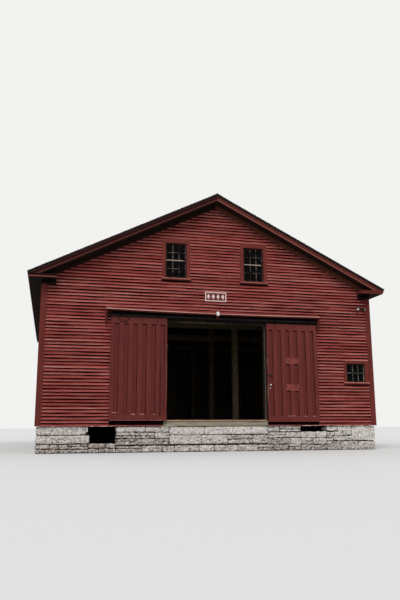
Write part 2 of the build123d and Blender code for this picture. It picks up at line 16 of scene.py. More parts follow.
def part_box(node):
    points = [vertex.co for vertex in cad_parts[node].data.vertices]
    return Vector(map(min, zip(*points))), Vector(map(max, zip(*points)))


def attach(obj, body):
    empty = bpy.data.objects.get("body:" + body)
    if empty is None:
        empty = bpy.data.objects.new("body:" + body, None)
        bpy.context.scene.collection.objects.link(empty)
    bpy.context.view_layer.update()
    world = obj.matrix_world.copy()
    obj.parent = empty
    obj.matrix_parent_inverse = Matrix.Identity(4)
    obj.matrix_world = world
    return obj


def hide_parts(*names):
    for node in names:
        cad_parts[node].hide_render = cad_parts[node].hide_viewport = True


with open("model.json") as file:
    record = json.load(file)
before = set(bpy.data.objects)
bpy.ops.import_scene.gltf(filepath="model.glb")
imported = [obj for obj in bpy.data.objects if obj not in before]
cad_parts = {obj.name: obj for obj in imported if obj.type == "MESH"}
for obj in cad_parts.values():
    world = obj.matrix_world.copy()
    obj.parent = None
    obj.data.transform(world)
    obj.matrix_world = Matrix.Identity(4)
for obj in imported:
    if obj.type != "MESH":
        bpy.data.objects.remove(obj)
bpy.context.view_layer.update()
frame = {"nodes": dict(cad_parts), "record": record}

# %% [markdown]
# A few helpers carry the whole lesson. One turns a paint chip's hex number into the linear colour
# that Blender wants. One adds a node of any kind to a tree, with its settings and its links, so a
# material or a Geometry Nodes tree reads as a list of steps.


# %% Helpers for colours and nodes
def paint(code):
    """The linear colour of an sRGB hex number such as 7a2a26."""
    levels = [int(code[i:i + 2], 16) / 255 for i in (0, 2, 4)]
    linear = [v / 12.92 if v <= 0.04045 else ((v + 0.055) / 1.055) ** 2.4 for v in levels]
    return (*linear, 1.0)


def add(tree, kind, *first, out=0, stops=None, **named):
    """Adds a node and gives one of its outputs. The first values go to its sockets in order, a name
    with a capital is a socket's, and any other name is a setting."""
    node = tree.nodes.new(kind if "Node" in kind else "ShaderNode" + kind)
    inputs = dict(enumerate(first))
    for name, value in named.items():
        if name[0].isupper():
            inputs[name.replace("_", " ")] = value
        else:
            setattr(node, name, value)
    for key, value in inputs.items():
        if isinstance(value, bpy.types.NodeSocket):
            tree.links.new(value, node.inputs[key])
        elif value is not None:
            is_paint = node.inputs[key].type == "RGBA" and isinstance(value, str)
            node.inputs[key].default_value = paint(value) if is_paint else value
    if stops:
        band = node.color_ramp.elements
        band.remove(band[1])
        band[0].position = stops[0][0]
        band[0].color = paint(stops[0][1])
        for place, code in stops[1:]:
            band.new(place).color = paint(code)
    return node.outputs[out] if len(node.outputs) else node


def cloud(new, place, waves, detail, low, high, to_low=0.0, to_high=1.0, roughness=0.5, shift=None):
    """A soft mask: noise with so many waves to a metre, given once or for X, Y and Z, and stretched so
    that low comes out as to_low, and high as to_high."""
    if isinstance(waves, tuple):
        place, waves = new("Mapping", Vector=place, Location=shift, Scale=waves), 1.0
    noise = new("TexNoise", Vector=place, Scale=waves, Detail=detail, Roughness=roughness)
    return new("MapRange", noise, low, high, to_low, to_high)


def lay(new, colour, over, *masks, mode="MIX"):
    """Lays one colour over another, as far as all the masks let it. A mask is a socket, a number, or
    a value with the bounds that it lies between, and None is no bound."""
    share = None
    for mask in masks:
        if isinstance(mask, tuple):
            value, low, high = mask
            if low is None:
                mask = new("Math", value, high, operation="LESS_THAN")
            elif high is None:
                mask = new("Math", value, low, operation="GREATER_THAN")
            else:
                mask = new("Math", value, (low + high) / 2, (high - low) / 2, operation="COMPARE")
        share = mask if share is None else new("Math", share, mask, operation="MULTIPLY")
    sockets_for_numbers = [None] * 5
    return new("Mix", share, *sockets_for_numbers, colour, over, out=2, data_type="RGBA", blend_type=mode)


def blank(name):
    """An empty material, the helper that adds nodes to it, and the place that its paint reads."""
    material = bpy.data.materials.new(name)
    material.use_nodes = True
    material.node_tree.nodes.clear()
    new = partial(add, material.node_tree)
    return material, new, new("TexCoord", out="Object")


def surface(new, place, colour, wear_and_light, height, depth, strength, **shader):
    """The last steps of every finish: its wear and painted light, its relief, its shader and the output."""
    if wear_and_light:
        colour = wear_and_light(new, place, new("SeparateXYZ", place).node.outputs, colour)
    relief = new("Bump", Height=height, Distance=depth, Strength=strength)
    new("OutputMaterial", Surface=new("BsdfPrincipled", Base_Color=colour, Normal=relief, **shader))


# %% [markdown]
# Finished pieces are plain meshes at the origin, with their place in the mesh, because that is how
# the model's own nodes are kept.


# %% Helpers for pieces
def place_mesh(name, mesh, material=None):
    """An object for a mesh whose points are already in their place."""
    if material:
        mesh.materials.append(material)
    mesh.polygons.foreach_set("use_smooth", [False] * len(mesh.polygons))
    made = bpy.data.objects.new(name, mesh)
    bpy.context.scene.collection.objects.link(made)
    return made


def hand_over(piece, body, replaced=()):
    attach(piece, body)
    if replaced:
        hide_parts(*replaced)
    print(piece.name, "triangles", sum(len(p.vertices) - 2 for p in piece.data.polygons))


def place_form(name, form, material):
    """An object for a form that is still being edited."""
    mesh = bpy.data.meshes.new(name)
    form.to_mesh(mesh)
    form.free()
    return place_mesh(name, mesh, material)


def boards(name, boxes, material, eased=0.003):
    """Sawn boards with eased edges, one for each pair of opposite corners."""
    form = bmesh.new()
    for a, b in boxes:
        low = Vector([min(p) for p in zip(a, b)])
        size = Vector([abs(q - p) for p, q in zip(a, b)])
        for vertex in bmesh.ops.create_cube(form, size=1)["verts"]:
            vertex.co = low + Vector([(c + 0.5) * s for c, s in zip(vertex.co, size)])
    if eased:
        bmesh.ops.bevel(form, geom=form.edges[:], offset=eased, segments=1, affect="EDGES")
    return place_form(name, form, material)


def skin(name, chains, material):
    """Closed bars, each given as a chain of rings that have the same number of points."""
    form = bmesh.new()
    for rings in chains:
        made = [[form.verts.new(p) for p in ring] for ring in rings]
        for ring, after in zip(made, made[1:]):
            for i, corner in enumerate(ring):
                j = (i + 1) % len(ring)
                form.faces.new((corner, ring[j], after[j], after[i]))
        form.faces.new(made[0])
        form.faces.new(made[-1])
    bmesh.ops.recalc_face_normals(form, faces=form.faces[:])
    return place_form(name, form, material)


def new_tree(name, sizes):
    """A Geometry Nodes tree that takes points, named sizes and a finish."""
    tree = bpy.data.node_groups.new(name, "GeometryNodeTree")
    for in_out in ("INPUT", "OUTPUT"):
        tree.interface.new_socket(name="Geometry", in_out=in_out, socket_type="NodeSocketGeometry")
    for size, value in sizes.items():
        kind = "NodeSocketInt" if isinstance(value, int) else "NodeSocketFloat"
        tree.interface.new_socket(name=size, in_out="INPUT", socket_type=kind).default_value = value
    tree.interface.new_socket(name="Finish", in_out="INPUT", socket_type="NodeSocketMaterial")
    return tree, tree.nodes.new("NodeGroupInput").outputs, partial(add, tree)


def scatter(new, given, form, size):
    """A real copy of a form on each point, turned as the point says and stretched to a size."""
    turn = new("GeometryNodeInputNamedAttribute", Name="turn", data_type="FLOAT_VECTOR")
    turn = new("FunctionNodeEulerToRotation", turn)
    laid = new("GeometryNodeInstanceOnPoints", Points=given["Geometry"], Instance=form, Rotation=turn,
               Scale=size)
    return new("GeometryNodeRealizeInstances", laid)


def close_tree(new, given, geometry):
    """Gives the geometry its finish and hands it out of the tree."""
    new("NodeGroupOutput", new("GeometryNodeSetMaterial", Geometry=geometry, Material=given["Finish"]))


def note(points, columns, place, **numbers):
    """Adds a point, and its numbers to the columns that a tree reads."""
    points.append(tuple(place))
    for column, number in numbers.items():
        columns.setdefault(column, []).append(number)


def grow(name, points, columns, tree, settings):
    """Runs a tree on loose points that carry columns of numbers, and keeps the plain mesh."""
    mesh = bpy.data.meshes.new(name + "_points")
    mesh.from_pydata(points, [], [])
    for column, values in columns.items():
        vectors = isinstance(values[0], (tuple, list))
        attribute = mesh.attributes.new(column, "FLOAT_VECTOR" if vectors else "FLOAT", "POINT")
        flat = [number for value in values for number in value] if vectors else values
        attribute.data.foreach_set("vector" if vectors else "value", flat)
    seed = bpy.data.objects.new(name + "_points", mesh)
    bpy.context.scene.collection.objects.link(seed)
    modifier = seed.modifiers.new("grow", "NODES")
    modifier.node_group = tree
    for item in tree.interface.items_tree:
        if item.in_out == "INPUT" and item.name in settings:
            modifier[item.identifier] = settings[item.name]
    evaluated = seed.evaluated_get(bpy.context.evaluated_depsgraph_get())
    grown = bpy.data.meshes.new_from_object(evaluated)
    bpy.data.objects.remove(seed)
    return place_mesh(name, grown)


# %% [markdown]
# The camera stands where the photograph was taken, low and to the left, looking up at the gable. Its
# place and turn were fitted to the corners, the eaves and the clapboard courses. The light is that of
# an overcast day: a pale sky, brighter overhead, and one wide soft lamp high in front.

# %% Camera
camera_place = Vector((-5.097, -26.089, 0.786))
yaw, pitch, roll = radians(13.694), radians(11.633), radians(-0.203)

ahead = Vector((sin(yaw) * cos(pitch), cos(yaw) * cos(pitch), sin(pitch)))
level_right = Vector((cos(yaw), -sin(yaw), 0))
level_up = level_right.cross(ahead)
right = level_right * cos(roll) + level_up * sin(roll)
up = level_up * cos(roll) - level_right * sin(roll)

camera_data = bpy.data.cameras.new("camera")
camera_data.lens = 36.64
camera_data.sensor_width = 36
camera_data.clip_end = 500
camera = bpy.data.objects.new("camera", camera_data)
camera.matrix_world = Matrix.Translation(camera_place) @ Matrix((right, up, -ahead)).transposed().to_4x4()
bpy.context.scene.collection.objects.link(camera)
bpy.context.scene.camera = camera
bpy.context.scene.view_settings.view_transform = "Standard"
print("camera", tuple(round(v, 2) for v in camera.location), "lens", round(camera_data.lens, 2))

# %% Lamp, sky and floor
lamp_height, lamp_side = radians(54), radians(-22)
sky_level, sky_top = 0.62, 1.10

lamp_data = bpy.data.lights.new("soft_lamp", "SUN")
lamp_data.energy = 1.9
lamp_data.angle = radians(28)
lamp = bpy.data.objects.new("soft_lamp", lamp_data)
lamp_from = Vector((sin(lamp_side) * cos(lamp_height), -cos(lamp_side) * cos(lamp_height), sin(lamp_height)))
lamp.rotation_euler = lamp_from.to_track_quat("Z", "Y").to_euler()
bpy.context.scene.collection.objects.link(lamp)

sky = bpy.data.worlds.new("overcast")
bpy.context.scene.world = sky
sky.use_nodes = True
sky.node_tree.nodes.clear()
new = partial(add, sky.node_tree)
height = new("SeparateXYZ", new("TexCoord", out="Generated"), out="Z")
overhead = new("MapRange", height, To_Min=sky_level, To_Max=sky_top)
daylight = new("Background", Color="fbfcff", Strength=overhead)
backdrop = new("Background", Color="f2f2f0", Strength=1.0)
seen = new("Math", new("LightPath", out="Is Camera Ray"), new("LightPath", out="Is Transmission Ray"),
           operation="MAXIMUM")
new("OutputWorld", Surface=new("MixShader", seen, daylight, backdrop))

# The floor looks pale to the camera, and is darker to the light, so that it throws little back.
floor_paint, new = blank("pale_floor")[:2]
pale, dim = new("BsdfDiffuse", Color="c2c2c0"), new("BsdfDiffuse", Color="6c6f66")
new("OutputMaterial", Surface=new("MixShader", new("LightPath", out="Is Camera Ray"), dim, pale))
floor_reach = 220
sheet = bpy.data.meshes.new("floor_sheet")
sheet.from_pydata([(x * floor_reach, y * floor_reach, 0) for x, y in ((-1, -1), (1, -1), (1, 1), (-1, 1))],
                  [], [(0, 1, 2, 3)])
place_mesh("floor_sheet", sheet, floor_paint)
print("light", lamp_data.energy, "floor", 2 * floor_reach, "metres wide")

# %% [markdown]
# Measures that several steps share come next. They are read from the model's own boxes where it has
# them, and the rest, such as a casing's width, repeat the sizes that the model was drawn with.

# %% Measures of the walls
front_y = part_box("front_wall_left")[0].y
back_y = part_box("back_wall")[1].y
side_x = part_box("side_walls")[1].x
sill_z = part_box("front_wall_left")[0].z
door_side = -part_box("front_wall_left")[1].x
door_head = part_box("front_gable")[0].z
eave_x, ridge_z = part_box("roof_right")[1].x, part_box("roof_right")[1].z
gable_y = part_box("roof_right")[1].y
roof_rise = 0.5
deck_plumb = ridge_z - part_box("front_gable")[1].z
corner_width = 0.150
frieze_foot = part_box("corner_boards")[1].z
rake_frieze_drop = 0.335
left_low, left_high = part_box("door_left")
right_low, right_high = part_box("door_right")

# A window is its wall, its middle along that wall, and its kind.
kinds = {
    "gable": {"width": 0.70, "foot": 5.445, "head": 6.615, "casing": 0.110, "cap": 0.150, "sill": 0.085},
    "small": {"width": 0.68, "foot": 2.190, "head": 2.810, "casing": 0.095, "cap": 0.095, "sill": 0.055},
}
side_window_y = 1.789
windows = [(wall, x, "gable") for wall in ("front", "back") for x in (-1.315, 1.315)]
windows += [(wall, 4.852, "small") for wall in ("front", "back")]
windows += [(wall, y, "small") for wall in ("left", "right") for y in (-side_window_y, side_window_y)]

# Each wall has its place, the direction that its boards run in, and the outward direction.
walls = {
    "front": (Vector((0, front_y, 0)), Vector((1, 0, 0)), Vector((0, -1, 0))),
    "right": (Vector((side_x, 0, 0)), Vector((0, 1, 0)), Vector((1, 0, 0))),
    "back": (Vector((0, back_y, 0)), Vector((-1, 0, 0)), Vector((0, 1, 0))),
    "left": (Vector((-side_x, 0, 0)), Vector((0, -1, 0)), Vector((-1, 0, 0))),
}


def on_wall(wall, place, out, z):
    """A place on a wall: along X or Y from its middle, outward from its face, and up."""
    origin, along, outward = walls[wall]
    return tuple(origin + along * ((along.x + along.y) * place) + outward * out + Vector((0, 0, z)))


def turn_of(along, outward, upward):
    """The Euler turn of a board that runs along, faces outward and rises upward."""
    return tuple(Matrix((along, -outward, upward)).transposed().to_euler())


def rake_frieze(z):
    """Half the gable's width at a height, up to the foot of the rake's frieze."""
    return (ridge_z - deck_plumb - rake_frieze_drop - z) / roof_rise


print("walls", round(side_x, 3), round(-front_y, 3), "sill", round(sill_z, 3), "ridge", round(ridge_z, 3))

# %% [markdown]
# Barn red is an iron oxide paint, brushed on rough boards and left to the weather. It is matt and
# chalky where rain reaches it, and it is dark under each lap, where dirt gathers and no light falls; the
# coat paints that shade into its colour. An image would blur close up, so every coat is mixed from noise
# at real sizes. On the clapboards the tree stores how high a point lies on its board, and the coat reads
# that: pale at the butt, partly rubbed paint and partly a painted highlight, red in the middle, and nearly
# black under the next board, painted shade over dirt. Streaks a metre or two long break the rows.


# %% Paint on clapboards
def lapped_coat(name, worn_stops, sound_stops, dark_tone, chip, wear_and_light=None):
    """Brushed paint on lapped boards, read from the lap and tone of each board, with painted shade under
    laps.
    """
    material, new, place = blank(name)
    lap, tone = (new("Attribute", out="Fac", attribute_name=column) for column in ("lap", "tone"))
    # The painted shade line under each lap opens and closes a little, as the boards cup and shrink.
    nudge = cloud(new, place, (1.1, 1.1, 17.0), 1.0, 0.36, 0.64, -0.09, 0.13, 0.4, (7, 3, 5))
    height = new("Math", lap, nudge, operation="ADD")
    worn, sound = (new("ValToRGB", height, stops=stops) for stops in (worn_stops, sound_stops))
    # The worn streaks are a metre or two long and one board high.
    colour = lay(new, sound, worn, cloud(new, place, (0.45, 0.45, 8.5), 2.0, 0.38, 0.62, roughness=0.45))
    # Boards differ a little, and so do broad patches of the wall.
    patch = cloud(new, place, 0.6, 3.0, 0.35, 0.65, -0.25, 0.25)
    level = new("Math", tone, patch, operation="ADD", use_clamp=True)
    shade = new("ValToRGB", level, stops=[(0.0, dark_tone), (1.0, "ffffff")])
    colour = lay(new, colour, shade, 1.0, mode="MULTIPLY")
    # Grain lines are a few millimetres high, and small chips bare the wood.
    drawn_out = new("Mapping", Vector=place, Scale=(5, 5, 140))
    grain = new("TexNoise", Vector=drawn_out, Scale=1.0, Detail=4.0, Roughness=0.6)
    shade = new("ValToRGB", grain, stops=[(0.36, "d6cccb"), (0.56, "ffffff")])
    colour = lay(new, colour, shade, 1.0, mode="MULTIPLY")
    colour = lay(new, colour, chip, cloud(new, place, (18, 18, 60), 3.0, 0.70, 0.74, 0.0, 0.7, 0.6))
    surface(new, place, colour, wear_and_light, grain, 0.0012, 0.8, Roughness=0.88, Specular_IOR_Level=0.04)
    return material


def door_foot_painted_shadow(new, place, at, colour):
    """The boards under the parked doors lie in their shadow, which is painted nearly black."""
    height = new("MapRange", at["Z"], sill_z + 0.020, sill_z + 0.038)
    for low, high in ((left_low, left_high), (right_low, right_high)):
        colour = lay(new, colour, "170706", (at["X"], low.x, high.x), (at["Y"], None, front_y + 0.015),
                     height, (at["Z"], None, low.z + 0.02))
    return colour


# Each ramp runs up the board from a pale butt, part wear and part painted highlight, to painted shade under
# the next lap.
siding_coat = lapped_coat(
    "iron_oxide_paint_on_clapboards",
    [(0.0, "cc958e"), (0.12, "bd7a73"), (0.38, "b05c55"), (0.56, "a04a43"), (0.61, "4a0b07"),
     (0.76, "260100")],
    [(0.0, "bb6a64"), (0.20, "ad5852"), (0.44, "a04844"), (0.63, "903a35"), (0.68, "3c0604"),
     (0.82, "220100")],
    "d8cfcf", "a39184", door_foot_painted_shadow)
print("coat", siding_coat.name)

# %% [markdown]
# Clapboards. Each board is a wedge, thick at its butt and thin where the next one covers it, with
# four inches to the weather. A flat wall with painted lines would have no shadow lines and no ragged
# outline at the corners, so a small tree places one wedge on each point, stretches it to its board, and
# bows it a little as old boards do. Python only decides where each board begins and ends.

# %% Where each clapboard begins and ends
exposure = 0.1016
board_lengths = (1.6, 4.6)
butt_joint = 0.003
shortest = 0.7
under_casing, under_corner, under_frieze, under_rake = 0.5, 0.006, 0.04, 0.06
least_run, least_rise, scrap = 0.10, 0.012, 0.02
# Between the doorway's head and the hood, a flat board carries the track instead of clapboards.
track_zone_low, track_zone_high, track_zone_top = left_low.x, right_high.x, 4.36
casing_wide = 0.05
board_random = random.Random(7)


def holes_of(wall):
    """The openings of a wall: low and high along it, foot and head, as its boards meet them."""
    found = []
    along = walls[wall][1]
    for where, middle, kind in windows:
        if where == wall:
            size = kinds[kind]
            middle = middle * (along.x + along.y)
            half = size["width"] / 2 + size["casing"] * under_casing
            found.append((middle - half, middle + half, size["foot"] - size["sill"],
                          size["head"] + size["cap"]))
    if wall == "front":
        found.append((-door_side - casing_wide, door_side + casing_wide, 0, door_head))
        found.append((track_zone_low, track_zone_high, door_head, track_zone_top))
    return found


def cut_course(wall, foot, head, half):
    """Cuts one course at the openings, as (low, high, foot, head) runs."""
    runs = [(-half, half, foot, head)]
    for low, high, hole_foot, hole_head in holes_of(wall):
        cut = []
        for a, b, c, d in runs:
            if b <= low or a >= high or d <= hole_foot or c >= hole_head:
                cut.append((a, b, c, d))
                continue
            cut.append((a, low, c, d))
            cut.append((high, b, c, d))
            if c < hole_foot:
                cut.append((max(a, low), min(b, high), c, hole_foot))
            if d > hole_head:
                cut.append((max(a, low), min(b, high), hole_head, d))
        runs = cut
    return [run for run in runs if run[1] - run[0] > least_run and run[3] - run[2] > least_rise]


points, columns = [], {}
for wall, (origin, along, outward) in walls.items():
    is_gable = wall in ("front", "back")
    reach = (side_x if is_gable else -front_y) - corner_width + under_corner
    top = ridge_z - deck_plumb - rake_frieze_drop if is_gable else frieze_foot + under_frieze
    turn = turn_of(along, outward, Vector((0, 0, 1)))
    foot = sill_z
    while foot < top:
        head = foot + exposure
        half = min(reach, rake_frieze(foot) + under_rake) if is_gable and head > frieze_foot else reach
        for low, high, c, d in cut_course(wall, foot, head, half):
            while high - low > scrap:
                length = min(board_random.uniform(*board_lengths), high - low)
                if high - low - length < shortest:
                    length = high - low
                note(points, columns, origin + along * (low + butt_joint / 2) + Vector((0, 0, c)),
                     board=(length - butt_joint, board_random.uniform(0.85, 1.2), d - c), turn=turn,
                     tone=board_random.random(), bow=board_random.uniform(-1, 1))
                low += length
        foot = head
print("clapboards", len(points))

# %% The lapped board tree
lap_tree, given, new = new_tree("lapped_boards", {"Butt": 0.015, "Tip": 0.004, "Tuck": 0.12, "Bow": 0.0,
                                                  "Wander": 0.0, "Cuts": 9})
wedge = new("GeometryNodeMeshCube", Size=(1, 1, 1), Vertices_X=given["Cuts"])
at = new("SeparateXYZ", new("GeometryNodeInputPosition")).node.outputs
run = new("Math", at["X"], 0.5, operation="ADD")
rise = new("Math", at["Z"], 0.5, operation="ADD")
depth = new("Math", at["Y"], 0.5, operation="SUBTRACT")
thick = new("MapRange", rise, To_Min=given["Butt"], To_Max=given["Tip"])
depth = new("Math", depth, thick, operation="MULTIPLY")
tall = new("Math", rise, new("Math", given["Tuck"], 1.0, operation="ADD"), operation="MULTIPLY")
shape = new("CombineXYZ", run, depth, tall)
# The two numbers are stored before the cube is shaped, because a field reads the points as they are.
for name, value in (("lap", tall), ("run", run)):
    wedge = new("GeometryNodeStoreNamedAttribute", Geometry=wedge, Name=name, Value=value, data_type="FLOAT")
wedge = new("GeometryNodeSetPosition", Geometry=wedge, Position=shape)
board = new("GeometryNodeInputNamedAttribute", Name="board", data_type="FLOAT_VECTOR")
laid = scatter(new, given, wedge, board)
run, bow = (new("GeometryNodeInputNamedAttribute", Name=name, data_type="FLOAT") for name in ("run", "bow"))
arch = new("Math", run, new("Math", 1.0, run, operation="SUBTRACT"), operation="MULTIPLY")
arch = new("Math", arch, new("Math", bow, given["Bow"], operation="MULTIPLY"), operation="MULTIPLY")
wander = new("TexNoise", Vector=new("GeometryNodeInputPosition"), Scale=0.9, Detail=1.0)
wander = new("Math", wander, 0.5, operation="SUBTRACT")
wander = new("Math", wander, given["Wander"], operation="MULTIPLY")
lift = new("CombineXYZ", Z=new("Math", arch, 4.0, wander, operation="MULTIPLY_ADD"))
close_tree(new, given, new("GeometryNodeSetPosition", Geometry=laid, Offset=lift))
print("lapped board tree", len(lap_tree.nodes), "nodes")

# %% Grow the clapboards
clapboards = grow("clapboards", points, columns, lap_tree,
                  {"Butt": 0.014, "Tip": 0.004, "Bow": 0.0015, "Wander": 0.005, "Finish": siding_coat})
hand_over(clapboards, "barn")

# %% [markdown]
# The flat boards of the barn, its corner boards, casings, cornice and doors, are planed and painted
# with the same red, so they hold it better than the clapboards. They still fade in patches, streak
# where water runs down, and show bare wood where a hand or a boot rubs.


# %% Paint on planed boards
def planed_coat(name, base, faded, dark, grain=(25, 25, 25), wear_and_light=None):
    """Brushed paint on planed boards. A wear_and_light hook takes the node helper, the place, its X, Y and
    Z, and the colour so far, and gives the colour with its wear and its painted light and shade."""
    material, new, place = blank(name)
    colour = lay(new, base, faded, cloud(new, place, 0.9, 4.0, 0.36, 0.66, roughness=0.6))
    # Water leaves runs about 30 mm wide and half a metre long.
    colour = lay(new, colour, dark, cloud(new, place, (30, 30, 1.8), 3.0, 0.45, 0.75, 0.0, 0.6, 0.55))
    drawn_out = new("Mapping", Vector=place, Scale=grain)
    grain = new("TexNoise", Vector=drawn_out, Scale=1.0, Detail=5.0, Roughness=0.6)
    colour = lay(new, colour, "9c8878", new("MapRange", grain, 0.735, 0.76, 0.0, 0.6))
    surface(new, place, colour, wear_and_light, grain, 0.001, 0.7, Roughness=0.76, Specular_IOR_Level=0.14)
    return material


def sill_highlight_and_shadow(new, place, at, colour):
    """A pinkish painted highlight along each sill's edge, and painted shadow under it."""
    patchy = cloud(new, place, 6.0, 3.0, 0.38, 0.48, 0.35)
    for kind, wear_and_highlight in (("gable", "a3625a"), ("small", "bd7c73")):
        ledge = kinds[kind]["foot"]
        colour = lay(new, colour, wear_and_highlight, (at["Z"], ledge - 0.030, ledge + 0.002), patchy)
        colour = lay(new, colour, "2e100e", (at["Z"], ledge - 0.097, ledge - 0.053))
    return colour


# Corner boards and the hood: a flat brick red. The roof deck's edge under the shingles: tarry black.
# Casings: a little brighter than the corner boards, with a painted highlight and painted shadow at each sill.
trim_coat = planed_coat("iron_oxide_paint_on_planed_boards", "672924", "72332d", "4f1e19")
deck_edge_coat = planed_coat("tarry_black_on_roof_deck_edge", "1b1312", "2a1b18", "0f0b0a")
frame_coat = planed_coat("iron_oxide_paint_on_casings", "6f2d27", "7a3731", "53201b", wear_and_light=sill_highlight_and_shadow)
print("coats", trim_coat.name, deck_edge_coat.name, frame_coat.name)

# %% [markdown]
# The cornice is the same red paint, and its light and shade are painted on its mouldings. The hollow of the
# crown is dark with dirt and painted shade, the two edges of the board under it carry painted highlights,
# and the soffit is painted nearly black as shade. The coat works out how far a point lies under the roof's
# slope, and paints by that.

# %% Paint on the cornice
deck_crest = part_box("rakes_left")[1].z
rake_deep = 0.17
gable_face, frieze_face = 7.5, 7.31
return_top, return_frieze_top = 5.305, 5.205
highlight_foot, highlight_top = 5.204, 5.240
# Down from the roof's edge: a crown dark with dirt and painted shade, painted highlights on the board's edges
# with painted shade between, then the soffit's painted shade. The left rake keeps only the lower highlight.
right_rake_stops = [
    (0.0, "3c1a15"), (0.19, "481c15"), (0.25, "a6564a"), (0.36, "98463c"), (0.42, "2a0b07"), (0.60, "2a0b07"),
    (0.66, "b4685e"), (0.77, "984f46"), (0.84, "3c140f"), (0.92, "2c1511"), (1.0, "2a1713")]
left_rake_stops = [
    (0.0, "40191a"), (0.34, "3a1517"), (0.62, "2c0f0e"), (0.69, "74352e"), (0.77, "62281f"), (0.83, "240c09"),
    (1.0, "170908")]


def cornice_light_and_shade(new, place, at, colour):
    """A crown dark with dirt and painted shade, two painted highlights and a soffit painted black as shade.
    """
    out_x, out_y = (new("Math", at[axis], operation="ABSOLUTE") for axis in "XY")
    slope_z = new("Math", out_x, -roof_rise, deck_crest, operation="MULTIPLY_ADD")
    band = new("MapRange", new("Math", slope_z, at["Z"], operation="SUBTRACT"), 0.0, rake_deep)
    # The left slope and return are painted darker than the right ones, as shade, and only their lower edge
    # carries a painted highlight.
    to_left, at_gable = (at["X"], None, 0.0), (out_y, gable_face, None)
    right_ramp, left_ramp = (new("ValToRGB", band, stops=stops)
                             for stops in (right_rake_stops, left_rake_stops))
    ramp = lay(new, right_ramp, left_ramp, to_left)
    colour = lay(new, colour, ramp, (at["Z"], return_top, None), at_gable)
    colour = lay(new, colour, "260f0c", at_gable, to_left, (at["Z"], None, return_top))
    colour = lay(new, colour, "8a4840", at_gable, to_left, (at["Z"], highlight_foot, highlight_top))
    # Friezes under the soffit are half in its shade, and their paint has dulled to brown.
    inner, near_wall = (out_y, None, gable_face), (out_y, frieze_face, None)
    colour = lay(new, colour, "6b392f", inner, near_wall)
    # On the left, and under the returns, the friezes are painted near black as shade.
    colour = lay(new, colour, "271511", inner, near_wall, to_left)
    colour = lay(new, colour, "150c0a", inner, (at["Z"], None, return_frieze_top))
    # Faces that look down are painted near black, as dirt and shade.
    facing = new("SeparateXYZ", new("NewGeometry", out="Normal"), out="Z")
    return lay(new, colour, "352a26", (facing, None, -0.6))


cornice_coat = planed_coat("iron_oxide_paint_on_cornice", "75322c", "833d36", "561f1b", wear_and_light=cornice_light_and_shade)
print("coat", cornice_coat.name)

# %% [markdown]
# Each door is boarded with raised strips over a sunk face. Dirt and shadow draw a dark line down the
# edge of every strip and under every rail, and that is what one sees of the joinery from a distance, so
# the coat paints those lines, dirt and shade together, at the strips' own spacing.

# %% Paint on the doors
strip_pitch, strip_wide = 0.285, 0.135
rail_foot, rail_head = 0.190, 0.200
face_skin, recess = 0.0015, 0.012
right_line, left_line = (strip_wide - 0.024, strip_wide + 0.003), (0.0, 0.010)
first_strips = {"left": 0.120, "right": 0.070}


def door_wear_and_shade(low, high, first_strip, scars, pulled_x, blocks=(), bare_foot=0.0):
    """Lines of dirt and painted shade, painted shadow under the top rail and blocks, rubbed rails,
    scars and a bare edge for one door, in its own measures.
    """
    strips_x = low.x + first_strip
    rails = low.z + rail_foot, high.z - rail_head
    block_ends = strips_x + 2 * strip_pitch - 0.004, strips_x + 3 * strip_pitch + strip_wide + 0.004

    def wear_and_light(new, place, at, colour):
        x, z = at["X"], at["Z"]
        behind = at["Y"], low.y + face_skin, None
        # The sunk face is painted a touch darker, as shade.
        colour = lay(new, colour, "632b28", (at["Y"], left_low.y + recess, None))
        along = new("Math", x, strips_x, operation="SUBTRACT")
        along = new("Math", along, strip_pitch, operation="FLOORED_MODULO")
        # The dark lines, dirt and painted shade, are widest at the strips' right edges.
        uneven = cloud(new, place, 1.6, 2.0, 0.35, 0.65, 0.25, 1.0)
        for code, line in (("360d0b", right_line), ("4a1917", left_line)):
            colour = lay(new, colour, code, behind, (z, *rails), (along, *line), uneven)
        # Painted shadow under the top rail.
        colour = lay(new, colour, "160706", behind, (z, rails[1] - 0.030, rails[1] + 0.002))
        blotchy = cloud(new, place, 14.0, 4.0, 0.38, 0.62)
        # Under each block, painted shadow; on the block, its own paler paint.
        for foot, top in blocks:
            middle = x, *block_ends
            colour = lay(new, colour, "160706", behind, middle, (z, foot - 0.032, foot + 0.002))
            colour = lay(new, colour, "8d453f", middle, (z, foot + 0.006, top - 0.006), blotchy)
        patchy = cloud(new, place, 22.0, 2.0, 0.42, 0.50)
        for code, left, right, foot, top, lean in scars:
            leant = new("Math", z, lean, x, operation="MULTIPLY_ADD")
            colour = lay(new, colour, code, (leant, left + lean * foot, right + lean * foot),
                         (z, foot, top), patchy)
        if bare_foot:
            colour = lay(new, colour, "94705f", (z, low.z - 0.001, low.z + bare_foot), patchy)
        # The edge that is pulled has lost its paint down the middle.
        wear_and_highlight = cloud(new, place, 3.0, 3.0, 0.44, 0.54)
        return lay(new, colour, "8a6c55", (x, pulled_x - 0.008, pulled_x + 0.008),
                   (z, low.z + 0.6, high.z - 0.8), wear_and_highlight)
    return wear_and_light


